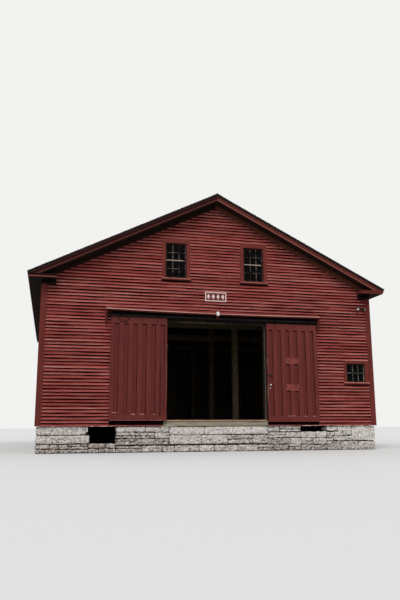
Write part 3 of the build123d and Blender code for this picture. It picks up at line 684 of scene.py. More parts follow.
# Each scar is a code, its left and right at its foot, its foot and top, and how far it leans. The
# pale ones are shed paint, the dark ones are cracks and seams.
left_scars = (("c09080", -3.27, -3.09, 1.166, 1.188, 0), ("c09080", -2.70, -2.58, 1.121, 1.143, 0),
              ("c09080", -2.46, -2.30, 1.121, 1.143, 0), ("a87868", -2.02, -1.95, 1.121, 1.143, 0),
              ("280908", -1.840, -1.796, 1.055, 2.66, 0), ("f0e6e0", -1.835, -1.795, 0.938, 0.962, 0))
right_scars = (("b08a7c", 2.34, 2.62, 1.075, 1.091, 0), ("b08a7c", 2.86, 3.02, 1.065, 1.081, 0),
               ("b08a7c", 3.20, 3.34, 1.070, 1.086, 0), ("1e0807", 2.660, 2.684, 1.590, 1.81, 0.27),
               ("2a0d0c", 1.717, 1.916, 2.975, 2.995, 0))
right_blocks = ((1.880, 2.095), (2.745, 2.960))
left_door_coat = planed_coat(
    "barn_red_on_left_door_boards", "662b28", "6e332e", "542321", (60, 60, 3),
    door_wear_and_shade(left_low, left_high, first_strips["left"], left_scars, left_high.x, bare_foot=0.010))
right_door_coat = planed_coat(
    "barn_red_on_right_door_boards", "692d2a", "723631", "562422", (60, 60, 3),
    door_wear_and_shade(right_low, right_high, first_strips["right"], right_scars, right_low.x, right_blocks))


def strap_shade_above_door(door_top):
    """A strap is painted with its door, and painted black above the door's top, as the shade under the hood.
    """
    def wear_and_light(new, place, at, colour):
        return lay(new, colour, "0f0c0b", (at["Z"], door_top, None))
    return wear_and_light


left_strap_coat, right_strap_coat = (
    planed_coat(f"paint_on_{side}_hangers", "5b2522", "642c28", "471c1a", (40, 40, 40), strap_shade_above_door(top))
    for side, top in (("left", left_high.z), ("right", right_high.z)))
print("coats", left_door_coat.name, right_door_coat.name)

# %% [markdown]
# Unpainted timber, stone, metal and glass. Old hewn timber is grey brown, and beside the doorway it is
# painted nearly black as shade; sheathing boards stay brown, and a plank that takes the weather goes grey.
# Split granite is white and grey grains of a few millimetres, which at this distance read as patches of
# about a hand's width.


# %% Timber
def timber(name, base, dark, grain, depth=0.003, wear_and_light=None):
    """Unpainted timber, with its grain drawn out along the board."""
    material, new, place = blank(name)
    drawn_out = new("Mapping", Vector=place, Scale=grain)
    grain = new("TexNoise", Vector=drawn_out, Scale=1.0, Detail=6.0, Roughness=0.62)
    colour = lay(new, base, dark, new("MapRange", grain, 0.36, 0.68))
    surface(new, place, colour, wear_and_light, grain, depth, 0.8, Roughness=0.88, Specular_IOR_Level=0.2)
    return material


doorway_shade_back = -6.95


def doorway_painted_shade(new, place, at, colour):
    """The posts beside the doorway are painted much darker than the rest, as shade."""
    return lay(new, colour, "2a231d", (at["Y"], None, doorway_shade_back), (at["Z"], None, door_head))


def seams(axis, pitch):
    """Dark seams between boards, one every pitch along an axis."""
    def wear_and_light(new, place, at, colour):
        along = new("Math", at[axis], pitch, operation="FLOORED_MODULO")
        return lay(new, colour, "241c16", (along, 0.0, 0.007))
    return wear_and_light


# Posts and beams: grey brown and rough, and painted dark as shade beside the doorway.
old_timber = timber("hewn_old_timber", "94826e", "655648", (9, 9, 9), 0.006, doorway_painted_shade)
# The walls from inside: paler brown, with a seam every ten inches.
sheathing = timber("rough_sheathing_board", "9a8b78", "6c5f52", (3, 3, 40), wear_and_light=seams("Z", 0.254))
# The floor: pale from wear, with seams between its planks.
floor_wood = timber("worn_floor_plank", "a69887", "7b6f62", (50, 2, 10), wear_and_light=seams("X", 0.230))
# The threshold is warm bare wood, and the riser under it is silver grey.
worn_plank = timber("threshold_plank_worn_by_feet", "c09a7c", "86654c", (2, 45, 45))
grey_plank = timber("bare_plank_gone_grey", "b0a793", "665d50", (2, 45, 45))
# Bare brown wood along the track board's edge, and the board itself, painted black for its dirt and
# for the shade under the hood.
worn_wood = timber("board_edge_worn_bare", "86705c", "5c493b", (3, 40, 40))
dirt_and_shade_board_coat = timber("old_paint_black_with_dirt_and_painted_shade", "1d1412", "0e0a09", (3, 30, 30))
# Dark bedding that reads as black joints between pale stones.
bedding = timber("dark_earth_and_lime_bedding", "554e44", "28231e", (30, 30, 30), 0.01)
print("timber", old_timber.name, sheathing.name, floor_wood.name)


# %% Metal, sashes and glass
def sheet_metal(name, base, dark, roughness, metallic, mottle):
    """A metal or enamelled skin, mottled by age in spots of a given size."""
    material, new, place = blank(name)
    spots = new("TexNoise", Vector=place, Scale=1 / mottle, Detail=5.0)
    colour = lay(new, base, dark, new("MapRange", spots, 0.38, 0.66))
    surface(new, place, colour, None, spots, 0.0006, 0.6, Roughness=roughness, Metallic=metallic)
    return material


def chalky(name, pale, bare, share):
    """Putty and paint that is chalky in some places and worn to dark wood in others."""
    def wear_and_light(new, place, at, colour):
        return lay(new, colour, bare, cloud(new, place, 5.0, 3.0, share - 0.07, share + 0.07))
    return planed_coat(name, pale, pale, "7d6a64", (60, 60, 60), wear_and_light)


# Ridge cap: dull zinc with soft cloudy spots. Track, brackets and pull: black with a little rust.
galvanised = sheet_metal("dull_galvanised_sheet", "b4b8ba", "83888a", 0.42, 0.9, 0.08)
dark_steel = sheet_metal("black_paint_on_steel", "1c1615", "2c1a14", 0.6, 0.3, 0.03)
# Lamp and latch knobs: half-gloss white, a little yellowed. Nails: rust through old red paint.
enamel = sheet_metal("white_enamel", "eceae6", "d2cfc8", 0.32, 0.0, 0.04)
nail_coat = sheet_metal("rust_and_old_paint_on_nail_heads", "4a221c", "2c1713", 0.7, 0.0, 0.01)
# Sashes are so dark that only their bars show, as broken chalky lines.
sash_coat = planed_coat("brown_black_sash_paint", "2b1614", "3d2320", "150c0b", (40, 40, 40))
bar_coat = chalky("chalky_putty_on_gable_bars", "9a8681", "3a2120", 0.47)
rail_coat = chalky("chalky_paint_on_meeting_rails", "c8b4a8", "8a6f66", 0.56)
small_bar_coat = chalky("grey_putty_on_small_bars", "b4aea0", "6a675e", 0.52)
# The hood's edge: primer gone pink and pale, and a painted highlight. The date board's frame: white,
# thin over red.
pale_edge_worn_and_highlit = planed_coat("pale_primer_worn_through_and_painted_highlight", "d8958b", "e6b3aa", "94504a", (12, 40, 40))
white_coat = planed_coat("white_paint_on_frame", "f2e2dd", "e6d0ca", "c9aaa3", (30, 30, 30))

# Old glass is thin, wavy and dusty, and the shade of the unlit loft behind it is painted into its
# colour, so it looks almost black.
pane_glass, new, place = blank("old_window_glass")
tint = lay(new, "040504", "121411", cloud(new, place, 14.0, 4.0, 0.45, 0.8))
wave = new("TexNoise", Vector=place, Scale=3.0, Detail=1.0)
surface(new, place, tint, None, wave, 0.004, 0.25, Roughness=0.10, Specular_IOR_Level=0.04)

# The floodlight's heads are bronze outside, with a white ring and lens at the front.
flood_aim = (0, -cos(radians(35)), -sin(radians(35)))
flood_low, flood_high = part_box("floodlight")


def lens_wear(new, place, at, colour):
    """White lenses: the left one shows its face, and the right one only its far rim."""
    aimed = new("VectorMath", new("NewGeometry", out="Normal"), flood_aim, out="Value",
                operation="DOT_PRODUCT")
    left_lens = new("Math", at["X"], (flood_low.x + flood_high.x) / 2, operation="LESS_THAN")
    far_rim = new("Math", at["X"], flood_high.x - 0.030, operation="GREATER_THAN")
    lit = new("Math", left_lens, far_rim, operation="ADD")
    return lay(new, colour, "f2efe8", (aimed, 0.97, None), lit)


flood_coat = planed_coat("bronze_enamel_with_white_lens", "3d2c28", "2c201d", "1d1513", (40, 40, 40),
                         lens_wear)
print("metal and glass", galvanised.name, pane_glass.name, flood_coat.name)

# %% Shingles and granite as materials
# Weathered cedar: silver grey where the sun reaches, brown near the laps, and darkest under them, which is
# painted shade.
shingle_wood = lapped_coat(
    "weathered_cedar_shingle",
    [(0.0, "a39d95"), (0.2, "8d877f"), (0.6, "76706a"), (0.88, "3c3733"), (1.0, "1d1a18")],
    [(0.0, "8d867d"), (0.3, "79736b"), (0.7, "67615a"), (0.9, "35302c"), (1.0, "1d1a18")],
    "b0a89e", "4d4640")

# Split granite: pale and grey patches, one tone for each stone, and warmer where that is dark.
granite, new, place = blank("split_granite")
tone = new("Attribute", out="Fac", attribute_name="tone")
colour = lay(new, "d3cac3", "f7f2ee", cloud(new, place, 16.0, 4.0, 0.40, 0.60, roughness=0.72))
# Pits and small cracks run with the bed of the stone, and a darker stone has more of them.
bed_place = new("Mapping", Vector=place, Rotation=(0, 0.12, 0), Scale=(15, 15, 30))
pit = new("TexNoise", Vector=bed_place, Scale=1.0, Detail=4.0, Roughness=0.66)
pit = new("MapRange", new("Math", tone, 0.11, pit, operation="MULTIPLY_ADD"), 0.545, 0.70, 0.0, 0.95)
colour = lay(new, colour, "4a4440", pit)
# Black mica and clear quartz are grains of four or five millimetres.
grains = new("SeparateXYZ", new("TexVoronoi", Vector=place, Scale=210.0, out="Color"))
grains = new("ValToRGB", grains, stops=[(0.0, "8f8c86"), (0.16, "c9c6c0"), (0.24, "f4f2ee"), (1.0, "ffffff")])
colour = lay(new, colour, grains, 0.75, mode="MULTIPLY")
colour = lay(new, colour, "b0968a", new("MapRange", tone, 0.25, 1.0, 0.0, 0.48), mode="MULTIPLY")
rough = new("TexNoise", Vector=place, Scale=14.0, Detail=6.0, Roughness=0.68)
surface(new, place, colour, None, rough, 0.03, 0.9, Roughness=0.92, Specular_IOR_Level=0.18)
print("roof and stone", shingle_wood.name, granite.name)

# %% [markdown]
# The foundation. Farm builders split long slabs for the course that shows and packed field stones
# under it. The slabs at the left corner and the square block at the right corner are placed one by one,
# and the rest, the flat stones beside the doorway among them, are laid in courses of random lengths. One tree
# turns each point into a stone: it chips the corners inward and roughens the faces with noise, which a
# plain brick texture could not do at the outline.

# %% The split stone tree
stone_tree, given, new = new_tree("split_stones", {"Relief": 0.021, "Relief size": 0.13, "Chipped": 0.007,
                                                   "Cuts": 11})
block = new("GeometryNodeMeshCube", Size=(1, 1, 1), Vertices_X=given["Cuts"], Vertices_Y=3, Vertices_Z=6)
block = new("GeometryNodeStoreNamedAttribute", Geometry=block, Name="cell",
            Value=new("GeometryNodeInputPosition"), data_type="FLOAT_VECTOR")
size, cell, turn = (new("GeometryNodeInputNamedAttribute", Name=name, data_type="FLOAT_VECTOR")
                    for name in ("size", "cell", "turn"))
laid = scatter(new, given, block, size)
# A corner or an edge of the block lies at the end of two or three axes, and is chipped inward.
at_end = new("VectorMath", cell, operation="ABSOLUTE")
at_end = new("VectorMath", at_end, (2.02, 2.02, 2.02), operation="MULTIPLY")
at_end = new("VectorMath", at_end, operation="FLOOR")
ends = new("VectorMath", at_end, (1, 1, 1), out="Value", operation="DOT_PRODUCT")
ends = new("Math", new("Math", ends, 1.0, operation="SUBTRACT"), 0.0, operation="MAXIMUM")
chip = new("Math", new("Math", ends, given["Chipped"], operation="MULTIPLY"), -1.0, operation="MULTIPLY")
inward = new("VectorMath", at_end, new("VectorMath", cell, operation="SIGN"), operation="MULTIPLY")
inward = new("VectorMath", inward, Scale=chip, operation="SCALE")
inward = new("FunctionNodeRotateVector", inward, new("FunctionNodeEulerToRotation", turn))
# Each stone reads another part of the noise, so that no two are alike.
tone = new("GeometryNodeInputNamedAttribute", Name="tone", data_type="FLOAT")
shift = new("CombineXYZ", new("Math", tone, 37.0, operation="MULTIPLY"))
where = new("VectorMath", new("GeometryNodeInputPosition"), shift, operation="ADD")
waves = new("Math", 1.0, given["Relief size"], operation="DIVIDE")
rough = new("TexNoise", Vector=where, Scale=waves, Detail=3.0, Roughness=0.6, out="Color")
rough = new("VectorMath", rough, (0.5, 0.5, 0.5), operation="SUBTRACT")
relief = new("Math", given["Relief"], 3.0, operation="MULTIPLY")
rough = new("VectorMath", rough, Scale=relief, operation="SCALE")
offset = new("VectorMath", inward, rough, operation="ADD")
close_tree(new, given, new("GeometryNodeSetPosition", Geometry=laid, Offset=offset))
print("split stone tree", len(stone_tree.nodes), "nodes")

# %% Lay the stones
base_low, base_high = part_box("foundation_front")
wall_depth = base_high.y - base_low.y
stone_x, stone_y, stone_top = base_high.x, -base_low.y, base_high.z
gap_left, gap_right = (-3.93, -3.12), (2.81, 3.71)
gap_left_sill, gap_right_sill = 0.28, 0.60
joint = 0.007
stone_random = random.Random(21)
points, columns = [], {}


def set_stone(wall, low, high, foot, head, tone, tilt=0.0):
    """One stone of the foundation, full depth, between two places along its wall."""
    along, outward = walls[wall][1:]
    upward = Vector((0, 0, 1))
    face = stone_y if wall in ("front", "back") else stone_x
    middle = along * (low + high) / 2 + outward * (face - wall_depth / 2)
    gap = joint * stone_random.uniform(0.7, 1.7)
    tilted, risen = along * cos(tilt) + upward * sin(tilt), upward * cos(tilt) - along * sin(tilt)
    note(points, columns, (middle.x, middle.y, (foot + head) / 2), tone=tone,
         size=(high - low - gap, wall_depth, head - foot - gap), turn=turn_of(tilted, outward, risen))


def lay_course(wall, low, high, foot, head, widths, tones=(0.0, 0.6), split=0.0, waver=0.012):
    """A course of stones of random widths. A share of them is split into two flat ones."""
    while high - low > 0.01:
        width = stone_random.uniform(*widths)
        if high - low - width < widths[0] * 0.7:
            width = high - low
        top = head - stone_random.uniform(0, waver)
        base = foot - stone_random.uniform(0, waver) if foot > 0.05 else foot
        tilt = stone_random.uniform(-0.016, 0.016) * min(1.0, 0.4 / width)
        if stone_random.random() < split:
            bed_z = base + (top - base) * stone_random.uniform(0.38, 0.62)
            set_stone(wall, low, low + width, base, bed_z, stone_random.uniform(*tones), tilt)
            base = bed_z
        set_stone(wall, low, low + width, base, top, stone_random.uniform(*tones), tilt)
        low += width


# The left corner is two long slabs over rubble, with ragged ends at the gap. Flat pale stones lie
# beside the doorway and long slabs under it. At the right corner is rubble, then one square block.
set_stone("front", -stone_x, -4.02, 0.525, stone_top, 0.40)
set_stone("front", -4.03, -3.945, 0.60, stone_top - 0.01, 0.40)
set_stone("front", -stone_x, -3.90, 0.275, 0.520, 0.44, 0.003)
lowest = 0.008
step_left, step_right, block_left = -1.50, 1.70, 4.60
# A course is its ends, foot, head, range of widths, range of tones, share that is split, and waver.
front_courses = (
    (-stone_x, gap_left[0], 0.13, 0.265, (0.25, 0.6), (0.6, 1.0), 0.2),
    (-stone_x, gap_left[0], lowest, 0.125, (0.2, 0.45), (0.6, 1.0)),
    (*gap_left, 0.14, gap_left_sill, (0.25, 0.5), (0.6, 1.0)),
    (*gap_left, lowest, 0.135, (0.25, 0.5), (0.6, 1.0)),
    (gap_left[1], step_left, 0.61, stone_top, (0.5, 0.9), (0.0, 0.5)),
    (gap_left[1], step_left, 0.415, 0.605, (0.45, 1.0), (0.2, 0.7), 0.3),
    (step_left, step_right, 0.525, stone_top, (1.1, 1.9), (0.0, 0.4), 0.0, 0.02),
    (step_right, gap_right[0], 0.595, stone_top, (0.35, 0.7), (0.1, 0.6), 0.2),
    (step_right, gap_right[0], 0.41, 0.59, (0.3, 0.7), (0.2, 0.8), 0.3),
    (gap_left[1], step_left, 0.225, 0.41, (0.4, 0.9), (0.3, 0.9), 0.2),
    (step_left, step_right, 0.245, 0.52, (0.5, 1.3), (0.2, 0.8), 0.3, 0.02),
    (step_right, gap_right[0], 0.20, 0.405, (0.3, 0.8), (0.3, 0.9), 0.3),
    (gap_left[1], gap_right[0], lowest, 0.205, (0.3, 0.8), (0.4, 1.0), 0.15),
    (*gap_right, 0.40, gap_right_sill, (0.3, 0.6), (0.2, 0.7)),
    (*gap_right, 0.19, 0.395, (0.25, 0.5), (0.3, 0.8), 0.3),
    (*gap_right, lowest, 0.185, (0.25, 0.5), (0.4, 1.0)),
    (gap_right[1], block_left, 0.61, stone_top, (0.16, 0.42), (0.0, 0.3), 0.3, 0.03),
    (gap_right[1], block_left, 0.47, 0.60, (0.14, 0.35), (0.0, 0.5), 0.0, 0.03),
    (gap_right[1], block_left, 0.295, 0.46, (0.2, 0.45), (0.1, 0.6), 0.2),
    (gap_right[1], stone_x, lowest, 0.290, (0.3, 0.7), (0.4, 1.0), 0.3),
)
for course in front_courses:
    lay_course("front", *course)
set_stone("front", block_left, stone_x, 0.300, stone_top, 0.0)
for wall, half in (("left", stone_y - wall_depth), ("right", stone_y - wall_depth), ("back", stone_x)):
    for course in ((0.52, stone_top, (0.6, 1.9), (0.0, 0.4), 0.1),
                   (0.27, 0.515, (0.45, 1.2), (0.1, 0.7), 0.3),
                   (lowest, 0.265, (0.3, 0.8), (0.3, 1.0), 0.2)):
        lay_course(wall, -half, half, *course)
stones = grow("foundation_stones", points, columns, stone_tree, {"Finish": granite})
hand_over(stones, "barn", ("foundation_front", "foundation_gap_sills", "foundation_sides",
                                      "foundation_back"))

# %% Bedding between the stones
inset = 0.045
bed_foot, bed_top = 0.004, stone_top - inset
bed = [((low + inset, -stone_y + inset, bed_foot), (high - inset, -stone_y + wall_depth - inset, top - inset))
       for low, high, top in ((-stone_x, gap_left[0], stone_top), (*gap_left, gap_left_sill),
                              (gap_left[1], gap_right[0], stone_top), (*gap_right, gap_right_sill),
                              (gap_right[1], stone_x, stone_top))]
bed.append(((-stone_x + inset, stone_y - wall_depth + inset, bed_foot),
            (stone_x - inset, stone_y - inset, bed_top)))
bed += [((side * (stone_x - inset), -stone_y + wall_depth - inset, bed_foot),
         (side * (stone_x - wall_depth + inset), stone_y - wall_depth + inset, bed_top)) for side in (-1, 1)]
hand_over(boards("foundation_bedding", bed, bedding, 0), "barn")

# %% [markdown]
# The roof is shingled in courses of four and a half inches. Shingles are thin wedges of random width,
# so they come from the same tree as the clapboards, tipped to the slope. Their butts make the fine
# teeth of the roof's edge against the sky.

# %% Shingles
shingle_exposure = 0.1143
shingle_widths = (0.09, 0.20)
shingle_gap = 0.004
overhang = 0.018
slope_angle = atan(roof_rise)
shingle_random = random.Random(5)
for side, name in ((-1, "shingles_left"), (1, "shingles_right")):
    outward = Vector((side * sin(slope_angle), 0, cos(slope_angle)))
    upward = Vector((-side * cos(slope_angle), 0, sin(slope_angle)))
    along = (-outward).cross(upward)
    half = gable_y + overhang
    slope = eave_x / cos(slope_angle) + overhang
    eave = Vector((side * eave_x, 0, ridge_z - eave_x * roof_rise)) - upward * overhang
    turn = turn_of(along, outward, upward)
    points, columns = [], {}
    for course in range(int(slope / shingle_exposure)):
        low = -half
        while low < half - scrap:
            width = shingle_random.uniform(*shingle_widths)
            if half - low - width < shingle_widths[0]:
                width = half - low
            ragged = shingle_random.uniform(-0.006, 0.006) if course else 0.0
            start = eave + upward * (course * shingle_exposure + ragged) + along * (low + shingle_gap / 2)
            note(points, columns, start,
                 board=(width - shingle_gap, shingle_random.uniform(0.8, 1.25), shingle_exposure),
                 turn=turn, tone=shingle_random.random(), bow=0.0)
            low += width
    roofing = grow(name, points, columns, lap_tree, {"Butt": 0.019, "Tip": 0.003, "Tuck": 0.3, "Cuts": 2,
                                                     "Finish": shingle_wood})
    hand_over(roofing, "barn")

# %% Ridge cap
cap_lift, cap_wing, cap_sheet = 0.021, 0.165, 0.0025
bead = 0.014
section = [(-cap_wing, -cap_wing * roof_rise), (-bead, -bead * roof_rise), (-bead * 0.7, bead * 0.5),
           (0, bead * 0.8), (bead * 0.7, bead * 0.5), (bead, -bead * roof_rise),
           (cap_wing, -cap_wing * roof_rise)]
ring = [(x, z + cap_sheet) for x, z in section] + [(x, z) for x, z in reversed(section)]
rings = [[(x, y, ridge_z + cap_lift + z) for x, z in ring] for y in (-gable_y - 0.01, 0, gable_y + 0.01)]
hand_over(skin("folded_ridge_cap", [rings], galvanised), "barn", ("ridge_cap",))

# %% Finishes of the model's own solids
finish = {
    "red_clapboard": sheathing, "red_trim": trim_coat, "red_door": left_door_coat, "granite": granite,
    "shingles": deck_edge_coat, "galvanised": galvanised, "hewn_timber": old_timber,
    "floor_plank": floor_wood, "weathered_plank": grey_plank, "painted_steel": dark_steel,
    "sash_paint": sash_coat, "window_pane": pane_glass, "date_board_paint": trim_coat,
    "lamp_enamel": enamel,
}
by_node = {
    "door_right": right_door_coat, "door_left_hangers": left_strap_coat,
    "door_right_hangers": right_strap_coat, "rakes_left": cornice_coat, "rakes_right": cornice_coat,
    "eave_cornices": cornice_coat, "cornice_returns": cornice_coat, "floodlight": flood_coat,
    "window_frames": frame_coat, "threshold": worn_plank,
}
for part in frame["record"]["subparts"]:
    node = frame["nodes"][part["node"]]
    node.data.materials.clear()
    node.data.materials.append(by_node.get(part["node"], finish[part["material_slot"]]))
print("finishes", len(finish))

# %% [markdown]
# The hood over the doors is a sloping board with a fascia. It is long and thin, and it has sagged
# between its brackets, which the photograph shows clearly, so it is drawn again as bars that follow a
# shallow parabola. Its front edge has lost its red and shows as a thin pale line, partly a painted highlight.

# %% Door hood
hood_low, hood_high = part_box("door_hood")
hood_half, hood_front = hood_high.x, hood_low.y
hood_sag, hood_tilt = 0.036, 0.018
hood_stations = [hood_half * (i / 12 - 1) for i in range(25)]


def hood_drop(x):
    """How far the hood has sunk at a place along it: a sag, and a little more to the right."""
    return hood_sag * (1 - (x / hood_half) ** 2) + hood_tilt * (1 + x / hood_half) / 2


def along_hood(section, start=-hood_half, stop=hood_half):
    """Rings of a (y, z) section along the sagging hood."""
    stations = [start] + [x for x in hood_stations if start + 0.01 < x < stop - 0.01] + [stop]
    return [[(x, y, z - hood_drop(x)) for y, z in section] for x in stations]


# The board, then the two strips of the fascia, each set a little further back than the one above it.
lip_y, lip_top, lip_foot = hood_front - 0.016, 4.345, 4.322
upper_y, upper_back, upper_foot = hood_front - 0.008, hood_front + 0.012, 4.303
lower_y, lower_back, lower_foot = hood_front + 0.003, hood_front + 0.022, 4.284
hood_board = [(front_y, hood_high.z), (lip_y, lip_top), (lip_y, lip_foot), (front_y, hood_high.z - 0.023)]
hood_upper = [(upper_y, 4.324), (upper_y, upper_foot), (upper_back, upper_foot), (upper_back, 4.331)]
hood_lower = [(lower_y, 4.304), (lower_y, lower_foot), (lower_back, lower_foot), (lower_back, 4.304)]
hand_over(skin("hood_board", [along_hood(hood_board)], trim_coat), "barn", ("door_hood",))
hand_over(skin("hood_face_boards", [along_hood(hood_upper), along_hood(hood_lower)], trim_coat), "barn",
          ("hood_fascia",))
edge_y, edge_foot = lip_y - 0.003, 4.323
edge_strip = [(lip_y, lip_top), (edge_y, lip_top), (edge_y, edge_foot), (lip_y, edge_foot)]
edge_joints = [-hood_half, -1.93, -0.42, 1.38, hood_half]
strips = [along_hood(edge_strip, a + 0.004, b - 0.004) for a, b in zip(edge_joints, edge_joints[1:])]
hand_over(skin("hood_edge_worn_and_highlit", strips, pale_edge_worn_and_highlit), "barn")
# A short block hangs from the fascia, under the lamp.
block_half, block_foot, block_top = 0.030, 4.125, 4.262
lamp_block = [((-block_half, lower_y, block_foot), (block_half, lower_back, block_top))]
hand_over(boards("hood_lamp_block", lamp_block, frame_coat), "barn")

# %% [markdown]
# Window bars. The gable windows are double hung, six panes over six, and the small ones have six
# panes. The bars and the putty round the glass have gone chalky and pale, so they read as thin light
# lines on black panes. They are sawn bars, placed from each window's middle.

# %% Window bars
sash_front = -0.015
glass_front = abs(front_y) - abs(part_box("window_glass")[0].y)
stile = 0.045
bar_widths = {"gable": 0.011, "small": 0.009}
bars = {"gable": [], "small": []}
meeting_rails, fillers = [], []


def window_box(wall, middle, low, high, inner, outer, foot, head):
    """A box on a window, from its middle along the wall and outward from the wall's face."""
    return on_wall(wall, middle + low, inner, foot), on_wall(wall, middle + high, outer, head)


for wall, middle, kind in windows:
    size = kinds[kind]
    half = size["width"] / 2 - stile
    foot, head = size["foot"] + stile, size["head"] - stile
    centre = (foot + head) / 2
    inner, outer = -glass_front - 0.002, sash_front + 0.002
    add_bar = partial(window_box, wall, middle)
    thin = bar_widths[kind] / 2
    for x in (-half / 3, half / 3):
        bars[kind].append(add_bar(x - thin, x + thin, inner, outer, foot - 0.004, head + 0.004))
    for z in [centre] if kind == "small" else [(foot + centre) / 2, (centre + head) / 2]:
        bars[kind].append(add_bar(-half - 0.004, half + 0.004, inner, outer - 0.002, z - thin, z + thin))
    if kind == "gable":
        rail = add_bar(-half - 0.01, half - 0.02, inner, outer + 0.010, centre - 0.004, centre + 0.022)
        meeting_rails.append(rail)
    # A line of putty and worn paint runs down the right stile only, partly a painted highlight.
    bars[kind].append(add_bar(half - 0.002, half + 0.012, inner, outer, foot, head))
    if kind == "small" and wall in ("front", "back"):
        # A flat board fills the narrow space between this casing and the corner board.
        edge = size["width"] / 2 + size["casing"]
        corner_edge = side_x - corner_width - middle
        fillers.append(add_bar(edge - 0.01, corner_edge + 0.01, -0.005, 0.019,
                               size["foot"] - size["sill"] - 0.01, size["head"] + size["cap"]))
hand_over(boards("gable_window_bars", bars["gable"], bar_coat), "barn")
hand_over(boards("small_window_bars", bars["small"], small_bar_coat), "barn")
hand_over(boards("meeting_rails", meeting_rails, rail_coat), "barn")
hand_over(boards("casing_fillers", fillers, trim_coat, 0.002), "barn")

# %% [markdown]
# The date board is a small painted panel in a raised white frame, with a row of four plain lozenges.
# Each is a low pyramid, so that the row catches the light and looks busy from the ground.

# %% Date board
board_low, board_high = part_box("date_board")
rim_width, panel_inset = 0.033, 0.01
wall_side, rim_face, face_y = board_high.y, board_low.y, board_high.y - 0.018
x0, z0, x1, z1 = board_low.x, board_low.z, board_high.x, board_high.z
panel = boards("date_panel", [((x0 + panel_inset, wall_side, z0 + panel_inset),
                               (x1 - panel_inset, face_y, z1 - panel_inset))], trim_coat)
hand_over(panel, "barn", ("date_board",))
rim = [((a, wall_side, c), (b, rim_face, d)) for a, b, c, d in (
    (x0, x1, z0, z0 + rim_width), (x0, x1, z1 - rim_width, z1),
    (x0, x0 + rim_width, z0 + rim_width, z1 - rim_width),
    (x1 - rim_width, x1, z0 + rim_width, z1 - rim_width))]
hand_over(boards("date_board_frame", rim, white_coat, 0.004), "barn")
wide, tall, proud, flat_share = 0.060, 0.100, 0.012, 0.55
lozenges = []
for i in range(4):
    x = x0 + rim_width + (x1 - x0 - 2 * rim_width) * (i + 0.5) / 4
    z = (z0 + z1) / 2
    outline = [(x - wide, z), (x, z - tall), (x + wide, z), (x, z + tall)]
    flat = [(x + (a - x) * flat_share, z + (b - z) * flat_share) for a, b in outline]
    lozenges.append([[(a, face_y + 0.002, b) for a, b in outline], [(a, face_y - proud, b) for a, b in flat]])
hand_over(skin("date_board_lozenges", lozenges, white_coat), "barn")

# %% Doorway casing and track board
casing_thick, board_thick, casing_foot = 0.021, 0.018, sill_z + 0.18
casing = [((s * door_side, front_y, casing_foot),
           (s * (door_side + casing_wide), front_y - casing_thick, door_head + 0.001)) for s in (-1, 1)]
hand_over(boards("doorway_casing", casing, dirt_and_shade_board_coat), "barn")
board_face = front_y - board_thick
track_board = [((track_zone_low, front_y, door_head), (track_zone_high, board_face, track_zone_top + 0.01))]
hand_over(boards("track_board", track_board, dirt_and_shade_board_coat), "barn")
# The track board's lower edge is worn bare over a part of the doorway.
worn_edge = [((low, board_face, door_head), (high, board_face - 0.003, door_head + tall))
             for low, high, tall in ((-1.22, -0.30, 0.012), (-0.24, 0.25, 0.010))]
hand_over(boards("track_board_worn_edge", worn_edge, worn_wood, 0.001), "barn")

# %% Strap loop on the left door
loop_half, loop_deep, loop_wide, loop_proud = 0.195, 0.140, 0.026, 0.005
loop_middle, loop_top, bulge, blunt = -2.965, left_high.z - 0.004, 0.35, 3.2
rings = []
for i in range(17):
    t = i / 8 - 1
    x = loop_middle + loop_half * (t + bulge * t * (t * t - 1))
    z = loop_top - loop_deep * (1 - abs(t) ** blunt)
    slope_x = loop_half * (1 + bulge * (3 * t * t - 1))
    slope_z = loop_deep * blunt * abs(t) ** (blunt - 1) * (1 if t > 0 else -1)
    side = Vector((-slope_z, 0, slope_x)).normalized() * loop_wide / 2
    rings.append([(x + s * side.x, left_low.y - out, z + s * side.z)
                  for s, out in ((-1, 0), (1, 0), (1, loop_proud), (-1, loop_proud))])
hand_over(skin("door_left_strap_loop", [rings], dirt_and_shade_board_coat), "left_door")

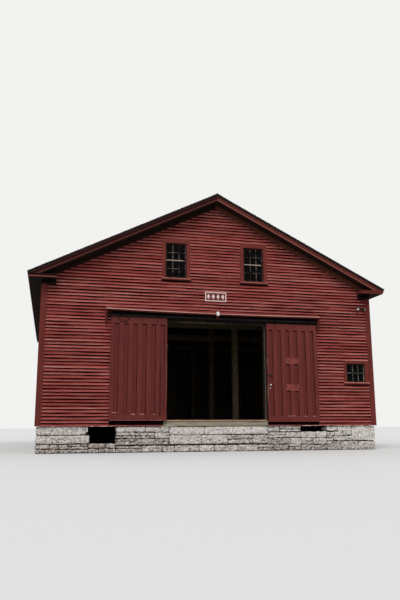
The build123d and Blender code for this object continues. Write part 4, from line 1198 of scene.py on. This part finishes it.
# %% Pull and latch of the right door
# Each box is its ends along X, how far it starts and ends in front of the door, its foot and its top.
pull = ((1.725, 1.750, 0, 0.030, 2.352, 2.408), (1.805, 1.830, 0, 0.030, 2.352, 2.408),
        (1.700, 1.850, 0.024, 0.040, 2.366, 2.394))
latch_plate = (1.760, 1.784, 0, 0.006, 1.925, 2.100)
latch = ((1.752, 1.776, 0.004, 0.022, 1.940, 1.972), (1.766, 1.806, 0.004, 0.024, 2.042, 2.088))
for name, boxes, coat, slot in (("right_door_pull", (*pull, latch_plate), dark_steel, "painted_steel"),
                                ("right_door_latch", latch, enamel, "lamp_enamel")):
    corners = [((a, right_low.y - near, foot), (b, right_low.y - far, top))
               for a, b, near, far, foot, top in boxes]
    hand_over(boards(name, corners, coat), "right_door")

# %% [markdown]
# Nails. The doors' strips and the corner boards are face nailed with cut nails, whose heads stand a
# little proud and rust through the paint. Hundreds are alike, so one tree sets an eight-sided head on
# each point and turns it to face outward. The doors' nails ride on the doors.

# %% The nail head tree
nail_tree, given, new = new_tree("nail_heads", {"Radius": 0.006, "Proud": 0.003, "Sides": 8})
head = new("GeometryNodeMeshCone", Vertices=given["Sides"], Radius_Top=0.6, Radius_Bottom=1.0, Depth=1.0)
size = new("CombineXYZ", given["Radius"], given["Radius"], given["Proud"])
close_tree(new, given, scatter(new, given, head, size))
print("nail head tree", len(nail_tree.nodes), "nodes")

# %% Drive the nails
nail_random = random.Random(11)


def drive(name, body, rows):
    """Nails for a list of (wall, place along it, distance out from its face, height)."""
    points, columns = [], {}
    for wall, place, proud, z in rows:
        off = nail_random.uniform(-0.006, 0.006)
        note(points, columns, on_wall(wall, place + off, proud, z - off),
             turn=tuple(walls[wall][2].to_track_quat("Z", "Y").to_euler()))
    hand_over(grow(name, points, columns, nail_tree, {"Finish": nail_coat}), body)


for side, low, high in (("left", left_low, left_high), ("right", right_low, right_high)):
    # Two nails in every strip, at five heights.
    rows = []
    for i in range(-1, 7):
        middle = low.x + first_strips[side] + i * strip_pitch + strip_wide / 2
        for share in (0.03, 0.29, 0.53, 0.76, 0.97):
            rows += [("front", x, front_y - low.y, low.z + share * (high.z - low.z))
                     for x in (middle - 0.04, middle + 0.04) if low.x + 0.02 < x < high.x - 0.02]
    drive(f"{side}_door_nails", f"{side}_door", rows)
corner_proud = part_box("corner_boards")[1].x - side_x
rows = []
for wall, half in (("front", side_x), ("back", side_x), ("left", -front_y), ("right", -front_y)):
    for side in (-1, 1):
        for from_edge in (0.030, 0.115):
            z = 0.86
            while z < frieze_foot - 0.03:
                rows.append((wall, side * (half - from_edge), corner_proud, z))
                z += 0.42
drive("corner_board_nails", "barn", rows)
